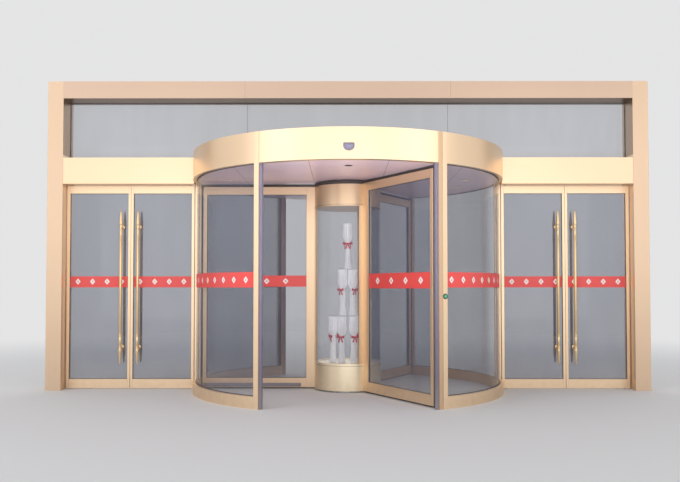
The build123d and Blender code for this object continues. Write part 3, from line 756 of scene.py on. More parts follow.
class Draft:
    """Points and faces of one piece, collected before it becomes an object."""

    def __init__(self, name: str) -> None:
        """Starts an empty draft.

        Args:
            name: Name of the piece.
        """
        self.name = name
        self.points: list[Vector] = []
        self.faces: list[tuple[int, ...]] = []
        self.along: list[float] = []

    def loft(self, rows: Sequence[Sequence[Vector]], capped: bool = True) -> None:
        """Joins closed outlines, each to the next.

        Args:
            rows: Outlines with the same number of points.
            capped: Whether the first and the last outline are filled.
        """
        first, count = len(self.points), len(rows[0])
        numbers = [range(first + count * row, first + count * (row + 1)) for row in range(len(rows))]
        for row in rows:
            self.points.extend(row)
        for low, high in zip(numbers, numbers[1:]):
            for step in range(count):
                after = (step + 1) % count
                self.faces.append((low[step], low[after], high[after], high[step]))
        if capped:
            self.faces += [tuple(reversed(numbers[0])), tuple(numbers[-1])]

    def lathe(
        self,
        profile: Outline,
        place: Matrix = NO_TURN,
        sides: int = 32,
        pleats: int = 0,
        depths: Sequence[float] = (),
    ) -> None:
        """Turns a profile about the local upright axis.

        Args:
            profile: Radius and height at each level, from one end to the other.
            place: Where the piece stands.
            sides: Points round each ring.
            pleats: Number of folds round it.
            depths: Depth of the folds at each level, as a share of the radius.
        """
        rows = []
        for level, (radius, height) in enumerate(profile):
            depth = depths[level] if pleats else 0.0
            row = []
            for turn in (tau * side / sides for side in range(sides)):
                reach = radius * (1.0 - depth * (0.5 + 0.5 * cos(pleats * turn)))
                row.append(place @ Vector((reach * cos(turn), reach * sin(turn), height)))
            rows.append(row)
        self.loft(rows)

    def block(self, low: Colour, high: Colour, place: Matrix = NO_TURN, bevel: float = 0.0) -> None:
        """Adds a box whose ends along the local Y axis may be bevelled.

        Args:
            low: Lowest corner.
            high: Highest corner.
            place: Where it stands.
            bevel: Width of the bevel.
        """
        ends = ((low[1], bevel), (low[1] + bevel, 0.0), (high[1] - bevel, 0.0), (high[1], bevel))
        rows = []
        for depth, inset in ends if bevel else (ends[0], ends[-1]):
            west, east, bottom, top = low[0] + inset, high[0] - inset, low[2] + inset, high[2] - inset
            corners = ((west, bottom), (east, bottom), (east, top), (west, top))
            rows.append([place @ Vector((across, depth, up)) for across, up in corners])
        self.loft(rows)

    def arc_bar(self, section: Outline, start: float, sweep: float, step: float = 2.0) -> None:
        """Sweeps a closed section about the drum's axis.

        Args:
            section: Corners as radius and height.
            start: First angle in degrees.
            sweep: Angle that it covers in degrees.
            step: Largest angle between two rows in degrees.
        """
        count = max(1, ceil(abs(sweep) / step))
        rows = []
        for share in (number / count for number in range(count + 1)):
            turn = radians(start + sweep * share)
            rows.append([Vector((reach * cos(turn), reach * sin(turn), up)) for reach, up in section])
            self.along += [reach * radians(abs(sweep)) * share for reach, _ in section]
        self.loft(rows)

    def glazing(
        self, low: Pair, high: Pair, middle: float, half: float, profile: Outline, place: Matrix = NO_TURN
    ) -> None:
        """Runs a gasket round a window on both faces of its glass, mitred at the corners.

        Args:
            low: Lowest corner of the window, sideways and up.
            high: Highest corner of the window.
            middle: Depth of the middle of the glass.
            half: Half the thickness of the glass.
            profile: Corners as distance into the window and out from the glass.
            place: Where the window stands.
        """
        (west, bottom), (east, top) = low, high
        corners = ((west, bottom, 1, 1), (east, bottom, -1, 1), (east, top, -1, -1), (west, top, 1, -1))
        for side in BOTH_SIDES:
            section = [(inset, middle + side * (half + depth)) for inset, depth in profile]
            rows = [
                [place @ Vector((x + right * inset, depth, z + up * inset)) for inset, depth in section]
                for x, z, right, up in (*corners, corners[0])
            ]
            self.loft(rows, capped=False)

    def ribbon(self, path: Sequence[Vector], across: Sequence[Vector], thickness: float) -> None:
        """Lays a flat ribbon along a path.

        Args:
            path: Points along its middle.
            across: Half-width vector at each point.
            thickness: Thickness of the ribbon.
        """
        rows = []
        for point, half, before, after in zip(path, across, (path[0], *path), (*path[1:], path[-1])):
            lift = (after - before).cross(half).normalized() * thickness / 2
            rows.append(four_corners(point, half, lift))
        self.loft(rows)

    def tuft(self, root: Vector, tip: Vector, along: Vector, out: Vector, flare: float) -> None:
        """Adds one bundle of brush hair from root to tip, whose width along the brush grows by the flare."""
        self.loft([four_corners(root, along, out), four_corners(tip, along * flare, out)], capped=False)
        self.faces.append(tuple(range(len(self.points) - 4, len(self.points))))

    def piece(
        self, body: str, slot: str, finish: Finish, replaces: Sequence[str] = (), crease: float = 38.0
    ) -> None:
        """Turns the draft into an object that rides on a body.

        Args:
            body: Body that carries it.
            slot: Material slot that it belongs to; not used.
            finish: Finish of its surface.
            replaces: Nodes that it stands for.
            crease: Angle in degrees from which an edge stays sharp.
        """
        mesh = bpy.data.meshes.new(self.name)
        mesh.from_pydata([tuple(point) for point in self.points], [], self.faces)
        if self.along:
            layer = mesh.uv_layers.new(name="strip")
            for loop in mesh.loops:
                corner = loop.vertex_index
                layer.data[loop.index].uv = (self.along[corner], self.points[corner].z)
        mesh.validate()
        mesh.polygons.foreach_set("use_smooth", [True] * len(mesh.polygons))
        mesh.set_sharp_from_angle(angle=radians(crease))
        mesh.materials.append(finish.material())
        made = add_object(self.name, mesh)
        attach(made, body)
        if replaces:
            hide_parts(*replaces)
        LOG.info("%s: %d faces on %s", self.name, len(mesh.polygons), body)


def add_object(name: str, data: bpy.types.ID) -> bpy.types.Object:
    """Adds an object to the scene.

    Args:
        name: Name of the object.
        data: Its mesh, camera or lamp.

    Returns:
        The object.
    """
    made = bpy.data.objects.new(name, data)
    bpy.context.scene.collection.objects.link(made)
    return made


def four_corners(middle: Vector, half: Vector, lift: Vector) -> list[Vector]:
    """Corners of a flat end about its middle."""
    return [middle - half - lift, middle + half - lift, middle + half + lift, middle - half + lift]


def dress(finish: Finish, *names: str) -> None:
    """Gives CAD nodes their finish.

    Args:
        finish: Finish that they get.
        names: Names of the nodes.
    """
    for name in names:
        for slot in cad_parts[name].material_slots:
            slot.material = finish.material()
        LOG.info("%s: %s", name, finish.label)


def between(a: float, b: float, c: float, d: float, share: float) -> float:
    """Value at a share of the way from b to c, on a smooth curve through four values."""
    bend = (2 * a - 5 * b + 4 * c - d) * share**2 + (3 * b - a - 3 * c + d) * share**3
    return 0.5 * (2 * b + (c - a) * share + bend)


def eased(points: Outline, steps: int) -> list[Pair]:
    """Smooth curve through points.

    Args:
        points: Points that the curve passes through.
        steps: Steps between two points.

    Returns:
        Points along the curve.
    """
    padded = [points[0], *points, points[-1]]
    curve = []
    for knots in zip(padded, padded[1:], padded[2:], padded[3:]):
        for share in (step / steps for step in range(steps)):
            curve.append(tuple(between(*axis, share) for axis in zip(*knots)))
    return [*curve, tuple(points[-1])]


def turned(angle: float, east: float = 0.0, north: float = 0.0) -> Matrix:
    """Place that is turned in degrees about the upright axis and then moved along X and Y."""
    return Matrix.Translation((east, north, 0.0)) @ Matrix.Rotation(radians(angle), 4, "Z")


def around(angle: float, reach: float, facing: float = 0.0) -> Matrix:
    """Place at a reach from the drum's axis at an angle, itself turned by another angle, in degrees."""
    return turned(facing, reach * cos(radians(angle)), reach * sin(radians(angle)))


@dataclass(frozen=True)
class GlazedFrame:
    """Sizes of a pane in a frame, in its own upright plane, and the trim that every such frame has."""

    window_low: Pair
    window_high: Pair
    bottom: float
    top: float
    face: float = 0.0225
    glass_half: float = 0.005
    gasket: tuple[Pair, ...] = ((0.0, 0.0), (0.004, 0.0), (0.003, 0.004), (0.0, 0.005))
    film_inset: float = 0.0045
    film_depths: Pair = (0.0002, 0.0006)
    film_steps: int = 8
    joint_half: float = 0.0005
    joint_depths: Pair = (-0.0003, 0.0002)
    joint_inset: float = 0.002

    def add_gaskets(self, draft: Draft, place: Matrix) -> None:
        """Runs the gaskets round both faces of the pane."""
        draft.glazing(self.window_low, self.window_high, 0.0, self.glass_half, self.gasket, place)

    def add_joints(self, draft: Draft, place: Matrix) -> None:
        """Draws the butt joints where the rails meet the stiles, on both faces, as dark strips for the joints
        and their painted shadow.

        Args:
            draft: Draft that they join.
            place: Where the frame stands.
        """
        half = self.joint_half
        (west, sill), (east, head) = self.window_low, self.window_high
        heights = ((self.bottom + self.joint_inset, sill), (head, self.top - self.joint_inset))
        for side in BOTH_SIDES:
            near, far = sorted(side * (self.face + depth) for depth in self.joint_depths)
            for edge in (west, east):
                for low, high in heights:
                    draft.block((edge - half, near, low), (edge + half, far, high), place)

    def add_film(self, draft: Draft, band: Pair, side: float, shift: float, place: Matrix) -> None:
        """Lays a film on one face of the pane.

        Args:
            draft: Draft that it joins.
            band: Its lowest and highest level.
            side: -1.0 for the near face and 1.0 for the far one.
            shift: Distance along the film of the middle of a mark.
            place: Where the frame stands.
        """
        inner, outer = (side * (self.glass_half + depth) for depth in self.film_depths)
        section = ((inner, band[0]), (outer, band[0]), (outer, band[1]), (inner, band[1]))
        start, end = self.window_low[0] + self.film_inset, self.window_high[0] - self.film_inset
        rows = []
        for length in ((end - start) * number / self.film_steps for number in range(self.film_steps + 1)):
            rows.append([place @ Vector((start + length, depth, up)) for depth, up in section])
            draft.along += [length + shift] * len(section)
        draft.loft(rows)


# Sub-assemblies


@dataclass
class EntranceScreen:
    """Jambs, head beam, headers and transom of the fixed screen."""

    jamb_face: float = 3.32
    transom_y: float = 0.085
    glass_half: float = 0.006
    pane_levels: Pair = (2.740, 3.400)
    gasket: tuple[Pair, ...] = ((0.0, 0.0), (0.005, 0.0), (0.003, 0.005), (0.0, 0.005))
    joint_x: float = 1.200
    seal_half: Pair = (0.0014, 0.005)
    seal_bevel: float = 0.0005

    def build(self) -> None:
        """Builds the gaskets of the transom and the seals of its joints."""
        bottom, top = self.pane_levels
        trim, seal = Draft("transom_gaskets"), Draft("transom_joint_seals")
        low, high = (-self.jamb_face, bottom), (self.jamb_face, top)
        trim.glazing(low, high, self.transom_y, self.glass_half, self.gasket)
        across, deep = self.seal_half
        for east in (side * self.joint_x for side in BOTH_SIDES):
            low = (east - across, self.transom_y - deep, bottom)
            seal.block(low, (east + across, self.transom_y + deep, top), bevel=self.seal_bevel)
        for draft in (trim, seal):
            draft.piece("screen", "edge_rubber", GASKET)

    def dress(self) -> None:
        """Gives the screen's nodes their finishes."""
        dress(SHADED_GOLD_JAMB, "jambs")
        dress(SHADED_GOLD_BEAM, "head_beam")
        dress(GOLD_LEVEL, "side_headers", "transom_sills")
        dress(GLASS, "transom_glass")
        dress(STEEL, "leaf_pivots")


@dataclass
class DrumWall:
    """Curved glass walls, their rails and posts, and the film on the glass."""

    glass_outer: float = 1.756
    glass_inner: float = 1.744
    film_band: Pair = (1.191, 1.345)
    film_depths: Pair = (0.0002, 0.0006)
    film_start: float = 0.9
    film_ends: tuple[Pair, ...] = ((1.0, 58.1), (-1.0, 57.35))
    film_step: float = 1.5
    rail_top: float = 0.120
    canopy_bottom: float = 2.420
    gasket: float = 0.005
    gasket_slope: float = 0.6
    gasket_step: float = 2.5

    def quadrants(self) -> list[Pair]:
        """Lists the curved films, shorter beside the switch strips.

        Returns:
            Start and sweep of each in degrees.
        """
        start = self.film_start
        spans = [(side * start, side * (end - start)) for side, end in self.film_ends]
        return [(base + first, sweep) for base in (0.0, 180.0) for first, sweep in spans]

    def build(self) -> None:
        """Builds the films and the gaskets of the curved glass."""
        low, high = self.film_band
        inner, outer = (self.glass_outer + depth for depth in self.film_depths)
        trim = Draft("curved_glass_gaskets")
        for number, (start, sweep) in enumerate(self.quadrants(), start=1):
            film = Draft(f"curved_film_{number}")
            section = ((inner, low), (outer, low), (outer, high), (inner, high))
            film.arc_bar(section, start, sweep, self.film_step)
            film.piece("screen", "clear_glass", CURVED_FILM)
            for level, rise in ((self.rail_top, self.gasket), (self.canopy_bottom, -self.gasket)):
                for face, out in ((self.glass_outer, self.gasket), (self.glass_inner, -self.gasket)):
                    top, lip = level + rise, face + out * self.gasket_slope
                    section = ((face, level), (face + out, level), (lip, top), (face, top))
                    trim.arc_bar(section, start, sweep, self.gasket_step)
        trim.piece("screen", "edge_rubber", GASKET)

    def dress(self) -> None:
        """Gives the wall's nodes their finishes."""
        dress(GOLD_POST, "front_posts", "rear_posts")
        dress(GOLD_UPRIGHT, "mullions")
        dress(GOLD_LEVEL, "base_rails")
        dress(DRUM_GLASS, "drum_glass")
        dress(RUBBER, "safety_edges")


@dataclass
class Canopy:
    """Canopy wall, ceiling, roof and the fittings on them."""

    drum_radius: float = 1.8002
    ceiling_z: float = 2.420
    light_reach: float = 1.375
    light_angles: tuple[float, ...] = (12.8, 167.2, 192.8, -12.8)
    rim: tuple[Pair, ...] = (
        (0.040, 0.0002), (0.049, 0.0002), (0.050, 0.0012), (0.0485, 0.0032),
        (0.0455, 0.0040), (0.0415, 0.0036), (0.0400, 0.0020),
    )
    lens: tuple[Pair, ...] = (
        (0.0398, 0.0003), (0.0396, 0.0018), (0.034, 0.0027), (0.022, 0.0034), (0.008, 0.0038),
    )
    flat_sensor: tuple[Pair, ...] = (
        (0.020, 0.0002), (0.0385, 0.0002), (0.040, 0.0012), (0.037, 0.0034),
        (0.030, 0.0040), (0.018, 0.0031), (0.016, 0.0036), (0.006, 0.0040),
    )
    flat_sensor_reach: float = 1.390
    sensor_size: tuple[float, float, float] = (0.111, 0.040, 0.077)
    sensor_z: float = 2.534
    sensor_lift: Pair = (0.003, 0.006)
    shoulder: float = 0.28
    side_power: float = 2.3
    brow_inset: float = 0.03
    corner: Pair = (0.05, 0.10)
    dome_powers: Pair = (2.6, 0.55)
    dome_edge: Pair = (0.992, 0.10)
    sensor_levels: tuple[float, ...] = (0, 0.02, 0.07, 0.16, 0.28, 0.42, 0.56, 0.7, 0.82, 0.91, 0.97, 1)
    sensor_rings: tuple[float, ...] = (1.0, 0.992, 0.97, 0.91, 0.80, 0.62, 0.40, 0.18)

    def build(self) -> None:
        """Builds the lights and the sensors."""
        self.build_lights()
        self.build_ceiling_sensors()
        self.build_entry_sensors()

    def hung(self, profile: Outline) -> list[Pair]:
        """Turns drops below the ceiling into heights."""
        return [(radius, self.ceiling_z - drop) for radius, drop in profile]

    def build_lights(self) -> None:
        """Builds each light as a rim and a lens."""
        rims, lenses = Draft("ceiling_light_rims"), Draft("ceiling_light_lenses")
        for angle in self.light_angles:
            rims.lathe(self.hung(self.rim), around(angle, self.light_reach))
            lenses.lathe(self.hung(self.lens), around(angle, self.light_reach))
        rims.piece("screen", "light_lens", BRASS, ["ceiling_lights"])
        lenses.piece("screen", "light_lens", LENS)

    def build_ceiling_sensors(self) -> None:
        """Builds the flat sensors with their dark windows."""
        shell = Draft("ceiling_sensors")
        for side in BOTH_SIDES:
            shell.lathe(self.hung(self.flat_sensor), turned(0.0, 0.0, side * self.flat_sensor_reach))
        shell.piece("screen", "dark_plastic", BLACK_PLASTIC)

    def half_width(self, share: float) -> float:
        """Works out the outline of the entry sensor.

        Args:
            share: Share of its height, from the top.

        Returns:
            Share of its half-width.
        """
        below = max(0.0, share - self.shoulder) / (1.0 - self.shoulder)
        brow = self.brow_inset * (1.0 - sin(pi / 2 * min(1.0, share / self.shoulder)))
        corner, inset = self.corner
        return sqrt(max(0.0, 1.0 - below**self.side_power)) - brow - max(0.0, inset * (1.0 - share / corner))

    def build_entry_sensors(self) -> None:
        """Builds the domed sensors over both openings."""
        width, depth, height = self.sensor_size
        outline = []
        for side, levels in ((1.0, self.sensor_levels), (-1.0, self.sensor_levels[::-1])):
            for share in levels:
                outline.append((side * self.half_width(share) * width / 2, (0.5 - share) * height))
        shell = Draft("entry_sensors")
        (edge, edge_swell), (power, root), (lift, slope) = self.dome_edge, self.dome_powers, self.sensor_lift
        for front in BOTH_SIDES:
            rows = []
            for ring in self.sensor_rings:
                swell = edge_swell if ring == edge else (1.0 - ring**power) ** root
                reach = front * (self.drum_radius + depth * swell)
                level = self.sensor_z + lift + slope * (1.0 - ring)
                rows.append([Vector((east * ring, reach, level + up * ring)) for east, up in outline])
            shell.loft(rows)
        shell.piece("screen", "dark_plastic", SENSOR_SHELL, ["sensors"], 50.0)

    def dress(self) -> None:
        """Gives the canopy's nodes their finishes."""
        dress(GOLD_UPRIGHT, "canopy_front", "canopy_rear", "canopy_sides")
        dress(ROOF, "canopy_roof")
        dress(CEILING, "drum_ceiling")


@dataclass
class PushButton:
    """Round push button on the right front post."""

    angle: float = -58.325
    sides: int = 48
    height: float = 1.104
    face: float = 1.8092
    bezel: tuple[Pair, ...] = (
        (0.019, 0.0), (0.0262, 0.0), (0.027, 0.001), (0.027, 0.0042),
        (0.0255, 0.006), (0.0205, 0.006), (0.0192, 0.0045), (0.0186, 0.0012),
    )
    dome: tuple[Pair, ...] = (
        (0.0184, 0.0005), (0.0180, 0.0062), (0.0170, 0.0086), (0.0146, 0.0106),
        (0.0105, 0.0121), (0.0055, 0.0128), (0.0012, 0.0130),
    )

    def build(self) -> None:
        """Builds the bezel and the domed button."""
        outwards = Matrix.Rotation(radians(90), 4, "Y")
        place = turned(self.angle) @ Matrix.Translation((self.face, 0.0, self.height)) @ outwards
        bezel, dome = Draft("button_bezel"), Draft("button_dome")
        bezel.lathe(self.bezel, place, self.sides)
        bezel.piece("screen", "button_plastic", BLACK_PLASTIC, ["push_button"])
        dome.lathe(self.dome, place, self.sides)
        dome.piece("screen", "button_plastic", GREEN_BUTTON)


@dataclass
class Rotor:
    """Column, wings, brushes and films that turn together."""

    wing_angles: tuple[float, ...] = (180.0, 300.0, 60.0)
    wing: GlazedFrame = GlazedFrame((0.486, 0.129), (1.661, 2.288), 0.022, 2.378)
    frame_outer: float = 1.705
    clearance: float = 0.0002
    brush_outer: float = 1.727
    brush_inner: float = 0.389
    brush_levels: Pair = (0.006, 2.411)
    brush_half: float = 0.006
    holder_rim: float = 0.004
    holder_bevel: float = 0.001
    hair_pitch: float = 0.006
    hair_size: Pair = (0.36, 0.46)
    hair_uneven: float = 0.05
    hair_flare: float = 1.35
    films: tuple[tuple[Pair, float, WarningFilm], ...] = (
        ((1.200, 1.331), -0.1310, FLAT_WING_FILM),
        ((1.182, 1.346), -0.0388, WING_FILM),
        ((1.182, 1.346), -0.0388, WING_FILM),
    )
    bumper: tuple[float, float, float, float] = (0.549, 1.693, 0.030, 0.073)
    bumper_face: Pair = (0.0227, 0.0347)
    bumper_edge: float = 0.004
    bumper_slope: float = 0.006
    bumper_hollow: float = 0.002
    bumper_taper: float = 12.0
    column_radius: float = 0.388
    line_levels: tuple[float, ...] = (0.301, 2.137)
    line_half: float = 0.0015
    line_depths: Pair = (-0.0005, 0.0002)
    column_brush: tuple[float, float, float, float] = (0.357, 0.387, 2.3702, 2.411)
    column_rows: tuple[float, ...] = (0.14, 0.5, 0.86)
    column_hair: Pair = (0.48, 0.135)
    column_uneven: float = 0.002
    column_flare: float = 1.1

    def build(self) -> None:
        """Builds the trims, films and brushes of the rotor."""
        self.build_trim()
        self.build_wing_brushes()
        self.build_bumpers()
        self.build_column_brush()
        self.build_column_lines()

    def places(self) -> list[Matrix]:
        """Lists where the wings stand."""
        return [turned(angle) for angle in self.wing_angles]

    def build_trim(self) -> None:
        """Builds the gaskets, the films and the frame joints of the wings."""
        gaskets, joints = Draft("wing_gaskets"), Draft("wing_frame_joints")
        for number, (place, (band, shift, finish)) in enumerate(zip(self.places(), self.films), start=1):
            self.wing.add_gaskets(gaskets, place)
            self.wing.add_joints(joints, place)
            film = Draft(f"wing_film_{number}")
            for side in BOTH_SIDES:
                self.wing.add_film(film, band, side, shift, place)
            film.piece("rotor", "clear_glass", finish)
        gaskets.piece("rotor", "edge_rubber", GASKET)
        joints.piece("rotor", "gold_frame", JOINT_SHADOW_LINE)

    def build_wing_brushes(self) -> None:
        """Builds the brushes round each wing and their holders."""
        hair, holder = Draft("wing_brushes"), Draft("wing_brush_holders")
        rim, half, inner = self.holder_rim, self.brush_half, self.brush_inner
        wide, deep = self.hair_size
        floor, ceiling = self.brush_levels
        low, high = self.wing.bottom - self.clearance, self.wing.top + self.clearance
        outer = self.frame_outer + self.clearance
        holders = (
            (outer, floor + rim, outer + rim, ceiling - rim),
            (inner, high, outer, high + rim),
            (inner, low - rim, outer, low),
        )
        runs = (
            ((outer + rim, floor), (0, ceiling - floor), (self.brush_outer - outer - rim, 0)),
            ((inner, high + rim), (outer - inner, 0), (0, ceiling - high - rim)),
            ((inner, low - rim), (outer - inner, 0), (0, floor - low + rim)),
        )
        for place in self.places():
            turn = place.to_3x3()
            for start, bottom, end, top in holders:
                holder.block((start, -half, bottom), (end, half, top), place, self.holder_bevel)
            for corner, run, reach in (tuple(Vector((x, 0, z)) for x, z in row) for row in runs):
                count = int(run.length / self.hair_pitch)
                step = run / count
                along, out = turn @ (step * wide), turn @ Vector((0, half * deep, 0))
                for number in range(count):
                    for row in BOTH_SIDES:
                        root = corner + step * (number + 0.5) + Vector((0, row * half / 2, 0))
                        uneven = ((number * 7 + (3 if row > 0 else 0)) % 5) / 4
                        tip = root + reach * (1.0 - self.hair_uneven * uneven)
                        hair.tuft(place @ root, place @ tip, along, out, self.hair_flare)
        hair.piece("rotor", "brush_seal", HAIR, ["wing_seals"])
        holder.piece("rotor", "brush_seal", BLACK_PLASTIC)

    def build_bumpers(self) -> None:
        """Builds the rubber strip low on the face of each wing."""
        strip = Draft("wing_bumpers")
        start, end, bottom, top = self.bumper
        near, far = self.bumper_face
        edge, slope, middle = self.bumper_edge, self.bumper_slope, (bottom + top) / 2
        section = (
            (near, bottom), (far - edge, bottom), (far, bottom + slope), (far - self.bumper_hollow, middle),
            (far, top - slope), (far - edge, top), (near, top),
        )
        for place in self.places():
            rows = []
            for east, inset in ((start, edge), (start + edge, 0.0), (end - edge, 0.0), (end, edge)):
                narrow = 1.0 - inset * self.bumper_taper
                points = ((min(depth, far - inset), middle + (up - middle) * narrow) for depth, up in section)
                rows.append([place @ Vector((east, depth, up)) for depth, up in points])
            strip.loft(rows)
        strip.piece("rotor", "brush_seal", RUBBER)

    def build_column_brush(self) -> None:
        """Builds the ring of hair between the column head and the ceiling."""
        hair = Draft("column_brush_hair")
        inner, outer, low, high = self.column_brush
        wide, deep = self.column_hair
        count = int(tau * outer / self.hair_pitch)
        for number in range(count):
            turn = tau * number / count
            radial = Vector((cos(turn), sin(turn), 0))
            along = Vector((-sin(turn), cos(turn), 0)) * self.hair_pitch * wide
            for share in self.column_rows:
                trim = self.column_uneven * ((number * 5 + int(share * 10)) % 4) / 3
                foot = Vector((0, 0, low)) + radial * (inner + (outer - inner) * share)
                tip = foot + Vector((0, 0, high - low - trim))
                hair.tuft(foot, tip, along, radial * (outer - inner) * deep, self.column_flare)
        hair.piece("rotor", "brush_seal", HAIR, ["column_brush"])

    def build_column_lines(self) -> None:
        """Builds the shadow lines round the column's base and head."""
        lines = Draft("column_lines")
        inner, outer = (self.column_radius + depth for depth in self.line_depths)
        for level in self.line_levels:
            low, high = level - self.line_half, level + self.line_half
            lines.arc_bar(((inner, low), (outer, low), (outer, high), (inner, high)), 0.0, 360.0, 3.0)
        lines.piece("rotor", "gold_frame", JOINT_SHADOW_LINE)

    def dress(self) -> None:
        """Gives the rotor's nodes their finishes."""
        dress(GOLD_SHADED_UPRIGHT, "wing_1_frame")
        dress(GOLD_UPRIGHT, "wing_2_frame", "wing_3_frame", "column_posts")
        dress(GOLD_LIT_LEVEL, "column_base")
        dress(GOLD_SHADED_LEVEL, "column_head")
        dress(WING_GLASS, "wing_glass")
        dress(COLUMN_GLASS, "column_glass")
        dress(STEEL, "rotor_shaft", "floor_bearing")


@dataclass
class ColumnDisplay:
    """Lace sheaves in three tiers inside the glass column, tied with red bows."""

    floor: float = 0.3222
    sheaf_height: float = 0.536
    tier_rise: float = 0.5444
    shelf_radii: Pair = (0.235, 0.116)
    shelf_thickness: float = 0.008
    shelf_edge: float = 0.001
    shelf_sides: int = 64
    clearance: float = 0.0002
    tiers: tuple[tuple[int, float], ...] = ((8, 0.185), (4, 0.084), (1, 0.0))
    neck_share: float = 0.553
    neck_radius: float = 0.022
    bow_size: float = 0.048
    ribbon_thickness: float = 0.0012
    sheaf: tuple[Pair, ...] = (
        (0.034, 0.001), (0.0415, 0.008), (0.0395, 0.05), (0.033, 0.15), (0.0305, 0.26), (0.031, 0.40),
        (0.029, 0.48), (0.0240, 0.535), (0.0235, 0.565), (0.033, 0.605), (0.048, 0.66), (0.0545, 0.71),
        (0.0530, 0.80), (0.0505, 0.90), (0.0535, 0.97), (0.0500, 0.998),
    )
    knot: tuple[Pair, ...] = ((0.03, -0.20), (0.13, -0.17), (0.17, 0.0), (0.13, 0.17), (0.03, 0.20))
    folds: int = 14
    fold_points: int = 6
    fold_depths: Pair = (0.06, 0.20)

    def build(self) -> None:
        """Builds the sheaves, their bows and the shelves."""
        lace, bows, shelves = Draft("display_lace"), Draft("display_bows"), Draft("display_shelves")
        outline = eased(self.sheaf, 3)
        shallow, more = self.fold_depths
        depths = [shallow + more * max(0.0, (share - 0.5) / 0.5) for _, share in outline]
        for tier, (count, reach) in enumerate(self.tiers):
            foot = self.floor + tier * self.tier_rise
            profile = [(radius, foot + share * self.sheaf_height) for radius, share in outline]
            knot = Matrix.Translation((self.neck_radius, 0, foot + self.neck_share * self.sheaf_height))
            for number in range(count):
                angle = 360 / count * (number + 0.5) if reach else -90.0
                place = around(angle, reach, angle)
                lace.lathe(profile, place, self.folds * self.fold_points, self.folds, depths)
                for facing in (0.0,) if reach else (0.0, 120.0, 240.0):
                    self.add_bow(bows, place @ turned(facing) @ knot)
        for tier, radius in enumerate(self.shelf_radii, start=1):
            low = self.floor + tier * self.tier_rise - self.shelf_thickness - self.clearance
            high, inner, edge = low + self.shelf_thickness, radius - self.shelf_edge, self.shelf_edge
            rim = ((inner, low), (radius, low + edge), (radius, high - edge), (inner, high))
            shelves.lathe(rim, sides=self.shelf_sides)
        lace.piece("rotor", "display_white", LACE, ["display"], 80.0)
        bows.piece("rotor", "display_white", SATIN, crease=60.0)
        shelves.piece("rotor", "clear_glass", SHELF_GLASS)

    def add_bow(self, draft: Draft, place: Matrix) -> None:
        """Adds a bow that faces outwards along the local X axis.

        Args:
            draft: Draft that it joins.
            place: Where its knot is.
        """
        sized = place @ Matrix.Scale(self.bow_size, 4)
        turn = sized.to_3x3()
        for side in BOTH_SIDES:
            loop, loop_half, tail, tail_half = [], [], [], []
            for share in (step / 16 for step in range(17)):
                arch = sin(pi * share)
                out = 0.12 + 0.18 * arch + 0.16 * sin(tau * share)
                loop.append(sized @ Vector((out, side * arch**0.75, 0.06 * arch)))
                loop_half.append(turn @ Vector((0.0, 0.0, 0.14 + 0.20 * arch)))
            for share in (step / 8 for step in range(9)):
                out = 0.12 + 0.10 * sin(pi * share)
                tail.append(sized @ Vector((out, side * (0.08 + 0.42 * share), -1.25 * share)))
                tail_half.append(turn @ Vector((0.0, 0.10 + 0.10 * share, 0.05 * side)))
            draft.ribbon(loop, loop_half, self.ribbon_thickness)
            draft.ribbon(tail, tail_half, self.ribbon_thickness)
        draft.lathe(eased(self.knot, 2), sized @ Matrix.Translation((0.12, 0, 0)), 12)


